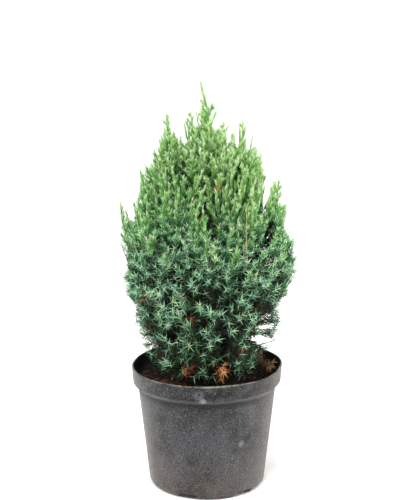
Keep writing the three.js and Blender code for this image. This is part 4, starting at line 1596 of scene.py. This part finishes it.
def grow_spray(middle, reach, carriers):
    """A stalk from the nearest stem to the spray's middle, and the twigs that spread from it"""
    seats, owners = carrier_seats(carriers)
    near = nearest(seats, middle)
    root = seats[near]
    out = unit(middle * (1, 1, 0))
    headings = unit(rng.normal(size=(SPRAY_TWIGS, 3)) + 0.9 * out)
    reaches = reach * rng.uniform(0.55, 1.05, SPRAY_TWIGS)
    feet = middle + 0.22 * reach * rng.normal(size=(SPRAY_TWIGS, 3))
    stalk = [root, mix(root, middle, 0.5) - 2 * UP, middle]
    twigs = [
        [foot, foot + 0.5 * length * heading, foot + length * heading + 0.1 * length * UP]
        for foot, heading, length in zip(feet, headings, reaches)
    ]
    return Twigs([stalk] + twigs, owners[near], (0.5, 0.25), 0.0)


def hidden_by(points):
    """Whether points lie between a dead spray and the picture's viewer"""
    hiding = np.zeros(len(points), bool)
    for middle, reach, _ in DEAD_SPRAYS:
        towards = unit(np.array(CAMERA_PLACE) / MM - middle)
        along = (points - middle) @ towards
        aside = np.linalg.norm(points - middle - column(along) * towards, axis=-1)
        hiding |= (along > 1) & (aside < 0.95 * reach) & (middle[1] < 0)
    return hiding


def grow_plant():
    """The stems, the side stems, the forks on both, the small shoots on the forks, and the inner growth"""
    stems = grow_stems()
    side_stems = together(grow_side_stems(), grow_spears(), grow_picture_spears())
    carriers = together(stems, side_stems)
    forks = together(grow_shoots(carriers, FORKS), grow_leader_shoots())
    forks = forks.chosen(~hidden_by(forks.middles()))
    shoots = grow_shoots(forks, SHOOTS)
    shoots = shoots.chosen(~hidden_by(shoots.middles()))
    forks = together(forks, *[grow_spray(middle, reach, carriers) for middle, reach in FOOT_SPRAYS])
    forks = forks.chosen(~hidden_by(forks.middles()))
    sprays = grow_gap_sprays(carriers, together(forks, shoots), GAP_SPRAYS)
    stars = grow_shoots(sprays, STARS)
    shoots = together(shoots, stars.chosen(~hidden_by(stars.middles())))
    forks = together(forks, sprays)
    dead = {tint: [] for tint in DEAD_TINTS}
    for middle, reach, tint in DEAD_SPRAYS:
        dead[tint].append(grow_spray(middle, reach, carriers))
    for middle, reach, tint in DEAD_SPOTS:
        withered = np.linalg.norm(shoots.middles() - middle, axis=1) < reach
        dead[tint].append(shoots.chosen(withered))
        shoots = shoots.chosen(~withered)
    inner = grow_shoots(together(*bare_wood(), carriers), INNER)
    inner = out_of_sky(inner, INNER_TESTS)
    root, tip = inner.corners[:, 0], inner.corners[:, 2]
    deep = inside_crown(root, by_height(INNER_ROOT_MARGINS, root[:, 2]))
    deep &= inside_crown(tip, by_height(INNER_TIP_MARGINS, tip[:, 2])) & (root[:, 2] < INNER_TOP)
    inner = inner.chosen(deep & ~hidden_by(inner.middles()))
    sprays = grow_gap_sprays(carriers, together(forks, shoots, inner), INNER_SPRAYS)
    inner = out_of_sky(together(inner, sprays, grow_shoots(sprays, STARS)), INNER_TESTS)
    withered = (rng.uniform(0, 1, len(inner)) < WITHERED_SHARE) & (inner.middles()[:, 2] < WITHERED_BELOW)
    dead["umber"].append(inner.chosen(withered))
    return stems, side_stems, forks, shoots, inner.chosen(~withered), dead


def bare_wood():
    """The boughs and the trunk as carriers of the inner growth"""
    owners = [index for index, limb in enumerate(limbs) if limb["bough"]]
    boughs = np.array([limbs[index]["bough"].at([0.1, 0.55, 1]) for index in owners])
    lengths = np.linspace(0.05, 0.9, TRUNK_LENGTHS + 1)
    pairs = zip(lengths, lengths[1:])
    trunk = np.array([trunk_path.at([low, 0.5 * (low + high), high]) for low, high in pairs])
    return [
        Twigs(np.repeat(boughs, 4, axis=0), np.repeat(owners, 4), (BOUGH_RADIUS, BOUGH_END_RADIUS), 0.0),
        Twigs(np.repeat(trunk, 4, axis=0), LEADER, (TRUNK_RADIUS, TRUNK_RADIUS), 0.0),
    ]


# Bark

def bark_material():
    """Thin red-brown bark that peels in lengthwise strips"""
    recipe = Recipe("juniper_bark", 0.85)
    strips = recipe.mottle(420, 4, 0.35, 0.68, roughness=0.65, stretch=(1, 1, 0.12))
    base = recipe.blend(strips, colour(62, 40, 28), colour(132, 92, 64))
    recipe.paint(recipe.over(base, recipe.mottle(70, 3, 0.35, 0.65), 0.4, colour(128, 112, 96)))
    recipe.bump(strips, 0.5)
    return recipe.material


def woody_material():
    """The thin brown bark of twigs"""
    recipe = Recipe("woody_twig", 0.8)
    recipe.paint(recipe.blend(recipe.mottle(300, 3, 0.35, 0.65), colour(62, 44, 32), colour(112, 84, 56)))
    recipe.set("Specular IOR Level", 0.2)
    recipe.bump(recipe.noise(1200, 2), 0.2)
    return recipe.material


def peeling_material():
    """The bare stem's bark, orange-brown, greener higher up and dark at its foot, with pale streaks"""
    recipe = Recipe("peeling_twig", 0.7)
    base = recipe.blend(recipe.height(*PEELING_HEIGHTS), colour(184, 112, 60), colour(148, 142, 84))
    base = recipe.over(base, recipe.rest(recipe.height(*PEELING_FOOT)), 0.85, colour(96, 54, 44))
    streaks = recipe.mottle(700, 3, 0.35, 0.65, stretch=(1, 1, 0.2))
    recipe.paint(recipe.over(base, streaks, 0.4, colour(184, 164, 120)))
    return recipe.material


def limb_skin(path, radii, sides, steps, relief):
    """A limb with the bark's lengthwise ridges, closed at both ends"""
    shares = np.linspace(0, 1, steps + 1)
    middles, along = path.at(shares), path.heading(shares)
    side = unit(np.cross(along, ASKEW))
    other = np.cross(along, side)
    bearing = 2 * math.pi * np.arange(sides) / sides
    run = shares[:, None] * path.length
    phase = rng.uniform(0, 2 * math.pi, 4)
    ridges = np.sin(3 * bearing + 0.11 * run + phase[0]) + 0.7 * np.sin(5 * bearing - 0.07 * run + phase[1])
    ridges = ridges + 0.5 * np.sin(0.35 * run + 2 * bearing + phase[2])
    ridges = ridges + 0.4 * np.sin(9 * bearing + phase[3])
    radius = radii(shares)[:, None] * (1 + relief * ridges)
    ring = middles[:, None] + side[:, None] * (radius * np.cos(bearing))[..., None]
    ring = ring + other[:, None] * (radius * np.sin(bearing))[..., None]
    corners = np.concatenate([ring.reshape(-1, 3), middles[[0, -1]]])
    return corners, ring_faces(steps + 1, sides)


def make_bark():
    bark = bark_material()
    corners, faces = limb_skin(trunk_path, trunk_radius, 28, 130, 0.045)
    foot = corners[:, 2] < TRUNK_FOOT + 1.2
    corners[foot, 2] = np.maximum(corners[foot, 2], TRUNK_FOOT)
    trunk = new_piece("trunk_bark", corners, faces, [bark])
    dress(trunk, "bark", "trunk")
    skins = [
        limb_skin(limb["bough"], lambda share: mix(BOUGH_RADIUS, BOUGH_END_RADIUS, share), 10, 16, 0.06)
        for limb in limbs
        if limb["bough"]
    ]
    boughs = new_piece("bough_bark", *merged(skins), [bark])
    dress(boughs, "bark", *[f"bough_{limb['name']}" for limb in limbs if limb["bough"]])


# The foliage's pieces


def make_twigs(stems, side_stems, forks, shoots, inner, bare_stem):
    green_bark = plain_material("young_twig", colour(88, 112, 54), 0.6)
    low, high = side_stems.portion(0, WOODY_SHARE), side_stems.portion(WOODY_SHARE, 1)
    woody = merged([tubes(stems, 6, 10), tubes(low, 5, 4), tubes(inner, 3, 1)])
    green = merged([tubes(high, 5, 5), tubes(forks, 3, 2), tubes(shoots, 3, 1)])
    piece = new_piece("twigs_woody", *woody, [woody_material()])
    dress(piece, "bark", *stood_for(np.concatenate([stems.owner, side_stems.owner])))
    piece = new_piece("twigs_green", *green, [green_bark])
    dress(piece, "needles", *stood_for(np.concatenate([forks.owner, shoots.owner])))
    piece = new_piece("twig_peeling", *tubes(bare_stem, 6, 12), [peeling_material()])
    dress(piece, "bark", *stood_for(bare_stem.owner))


def clear_of_gaps(corners, rooted_in_gap=True):
    """Whether needles leave the gaps in the crown open. Those of a twig in a gap of the sky may stay."""
    tip = corners[:, 3]
    middle = 0.5 * (corners[:, 0] + tip)
    closing = in_gaps(tip, OPEN_GAPS) | in_gaps(middle, OPEN_GAPS) | in_shade(tip) | in_shade(middle)
    closing &= rng.uniform(0, 1, len(tip)) > STRAY_NEEDLES
    in_sky_gap = in_gaps(tip, SKY_GAPS) | in_gaps(middle, SKY_GAPS)
    if rooted_in_gap:
        in_sky_gap &= ~in_gaps(corners[:, 0], SKY_GAPS)
    return in_box(tip, 0) & ~closing & ~in_sky_gap


def patches(points):
    """A slow change from place to place in the crown, from -1 to 1"""
    x, y, z = (points / PATCH_SIZE).T
    return np.sin(x + 0.6 * np.sin(1.3 * z)) * np.sin(1.1 * y + 0.7) * np.sin(0.9 * z + 0.5 * np.sin(x))


def needle_tints(twigs, which, share, root):
    """The number of each needle's tint: lighter up the crown and at the tips of twigs, darker deeper in the
    crown and at the low right as painted shade, and lighter at the high right and darker at the high left as
    painted light and shade
    """
    lift = ease(root[:, 2], *TINT_LIFT)
    mood = rng.normal(0, 1, len(twigs))[which] * mix(*TINT_MOODS, lift) + TINT_PATCHES * patches(root)
    depth = crown_radius(root[:, 2]) - np.hypot(root[:, 0] - crown_middle(root[:, 2]), root[:, 1])
    value = np.interp(root[:, 2], TINT_HEIGHTS, TINT_VALUES) + mix(*TINT_AT_TIPS, lift) * share ** 2 + mood
    # Painted shade: needles deeper inside the crown take darker tints
    value = value - mix(*PAINTED_SHADE_INSIDE, lift) * ease(depth, *PAINTED_SHADE_DEPTHS)
    # Painted shade low on the right, then painted light high on the right and painted shade high on the left
    low = 1 - ease(root[:, 2], *LOW_SHADE_HEIGHTS)
    value = value - LOW_RIGHT_SHADE * ease(root[:, 0], 0, SIDE_REACH) * low
    side = mix(-1, 1, ease(root[:, 0], -SIDE_REACH, SIDE_REACH))
    value = value + HIGH_RIGHT_LIGHT * side * ease(root[:, 2], *HIGH_LIGHT_HEIGHTS)
    return np.clip(np.floor(value * (len(TINTS) - 1)).astype(int) + 1, 0, len(TINTS) - 1)


def make_needles(twigs, inner, dead):
    which, share, turn = needle_places(twigs)
    corners = needle_meshes(twigs, which, share, turn)
    free = inside_crown(corners[:, 3], -NEEDLE_STANDS_PROUD - twigs.proud[which]) & clear_of_gaps(corners)
    tint = needle_tints(twigs, which, share, corners[:, 0])
    for number, (name, body, bloom) in enumerate(TINTS):
        mine = free & (tint == number)
        make_needle_piece(name, corners[mine], body, bloom, twigs.owner[which[mine]])
    high = inner.middles()[:, 2] > INNER_GREEN_ABOVE
    for (name, body, bloom), mine in zip(INNER_TINTS, (inner.chosen(~high), inner.chosen(high))):
        corners = needle_meshes(mine, *needle_places(mine, INNER_COARSE), INNER_COARSE)
        corners = corners[clear_of_gaps(corners, rooted_in_gap=False)]
        make_needle_piece(name, corners, body, bloom, mine.owner)
    for name, (body, bloom) in DEAD_TINTS.items():
        mine = together(*dead[name])
        corners = needle_meshes(mine, *needle_places(mine), wilted=True)
        make_needle_piece(name, corners, body, bloom, mine.owner)


# The picture's camera, light and floor

def make_camera():
    data = bpy.data.cameras.new("camera")
    data.sensor_fit = "VERTICAL"
    data.sensor_width = SENSOR
    data.sensor_height = SENSOR
    data.lens = FOCAL_PIXELS * SENSOR / PHOTO_HEIGHT
    camera = bpy.data.objects.new("camera", data)
    camera.location = CAMERA_PLACE
    camera.rotation_euler = (math.pi / 2 - CAMERA_PITCH, 0, 0)
    bpy.context.scene.collection.objects.link(camera)
    bpy.context.scene.camera = camera


def new_light(name, kind, energy):
    light = bpy.data.objects.new(name, bpy.data.lights.new(name, kind))
    light.data.energy = energy
    bpy.context.scene.collection.objects.link(light)
    return light


def softbox(name, place, power):
    """A square soft light that faces the middle of the plant"""
    light = new_light(name, "AREA", power)
    light.data.size = SOFTBOX_SIZE
    light.data.color = SOFTBOX_COLOUR
    light.location = place
    aim = Vector((0, 0, AIM_HEIGHT)) - light.location
    light.rotation_euler = aim.to_track_quat("-Z", "Y").to_euler()


def soft_sun(name, towards, spread, strength):
    """Even light from far away, with soft shadows"""
    light = new_light(name, "SUN", strength)
    light.data.angle = math.radians(spread)
    light.rotation_euler = Vector(towards).to_track_quat("Z", "Y").to_euler()


def make_studio():
    world = bpy.data.worlds.new("studio")
    world.use_nodes = True
    background = world.node_tree.nodes["Background"]
    background.inputs["Color"].default_value = (1, 1, 1, 1)
    background.inputs["Strength"].default_value = WORLD_STRENGTH
    bpy.context.scene.world = world
    bpy.context.scene.view_settings.view_transform = "Standard"
    soft_sun("light_above", SUN_TOWARDS, SUN_SPREAD, SUN_STRENGTH)
    for name, (place, power) in SOFTBOXES.items():
        softbox(name, place, power)
    recipe = Recipe("studio_floor", 0.7)
    recipe.paint(recipe.blend(recipe.noise(6, 2), (0.90, 0.90, 0.90, 1), (0.93, 0.93, 0.93, 1)))
    around = 2 * math.pi * np.arange(48) / 48
    edge = (5 * FLOOR_RADIUS, FLOOR_RADIUS)
    corners, faces = turned([(0, 0), (FLOOR_RADIUS, 0), edge, (0, FLOOR_RADIUS)], around)
    floor = new_piece("studio_floor", corners, [faces[0], faces[1]], [recipe.material])


def make_all():
    make_camera()
    make_studio()
    make_pot()
    make_soil()
    make_crumbs()
    make_fibres("soil_fibres", bits_material("bark_fibre", (58, 38, 24), (168, 104, 50)), **FIBRES)
    make_fibres("soil_bark_bits", bits_material("bark_bit", (44, 30, 22), (116, 74, 44)), **BARK_BITS)
    make_bark()
    stems, side_stems, forks, shoots, inner, dead = grow_plant()
    others = together(inner, *[t for group in dead.values() for t in group])
    make_twigs(stems, side_stems, forks, shoots, others, grow_bare_stem())
    make_needles(together(stems, side_stems, forks, shoots), inner, dead)


make_all()
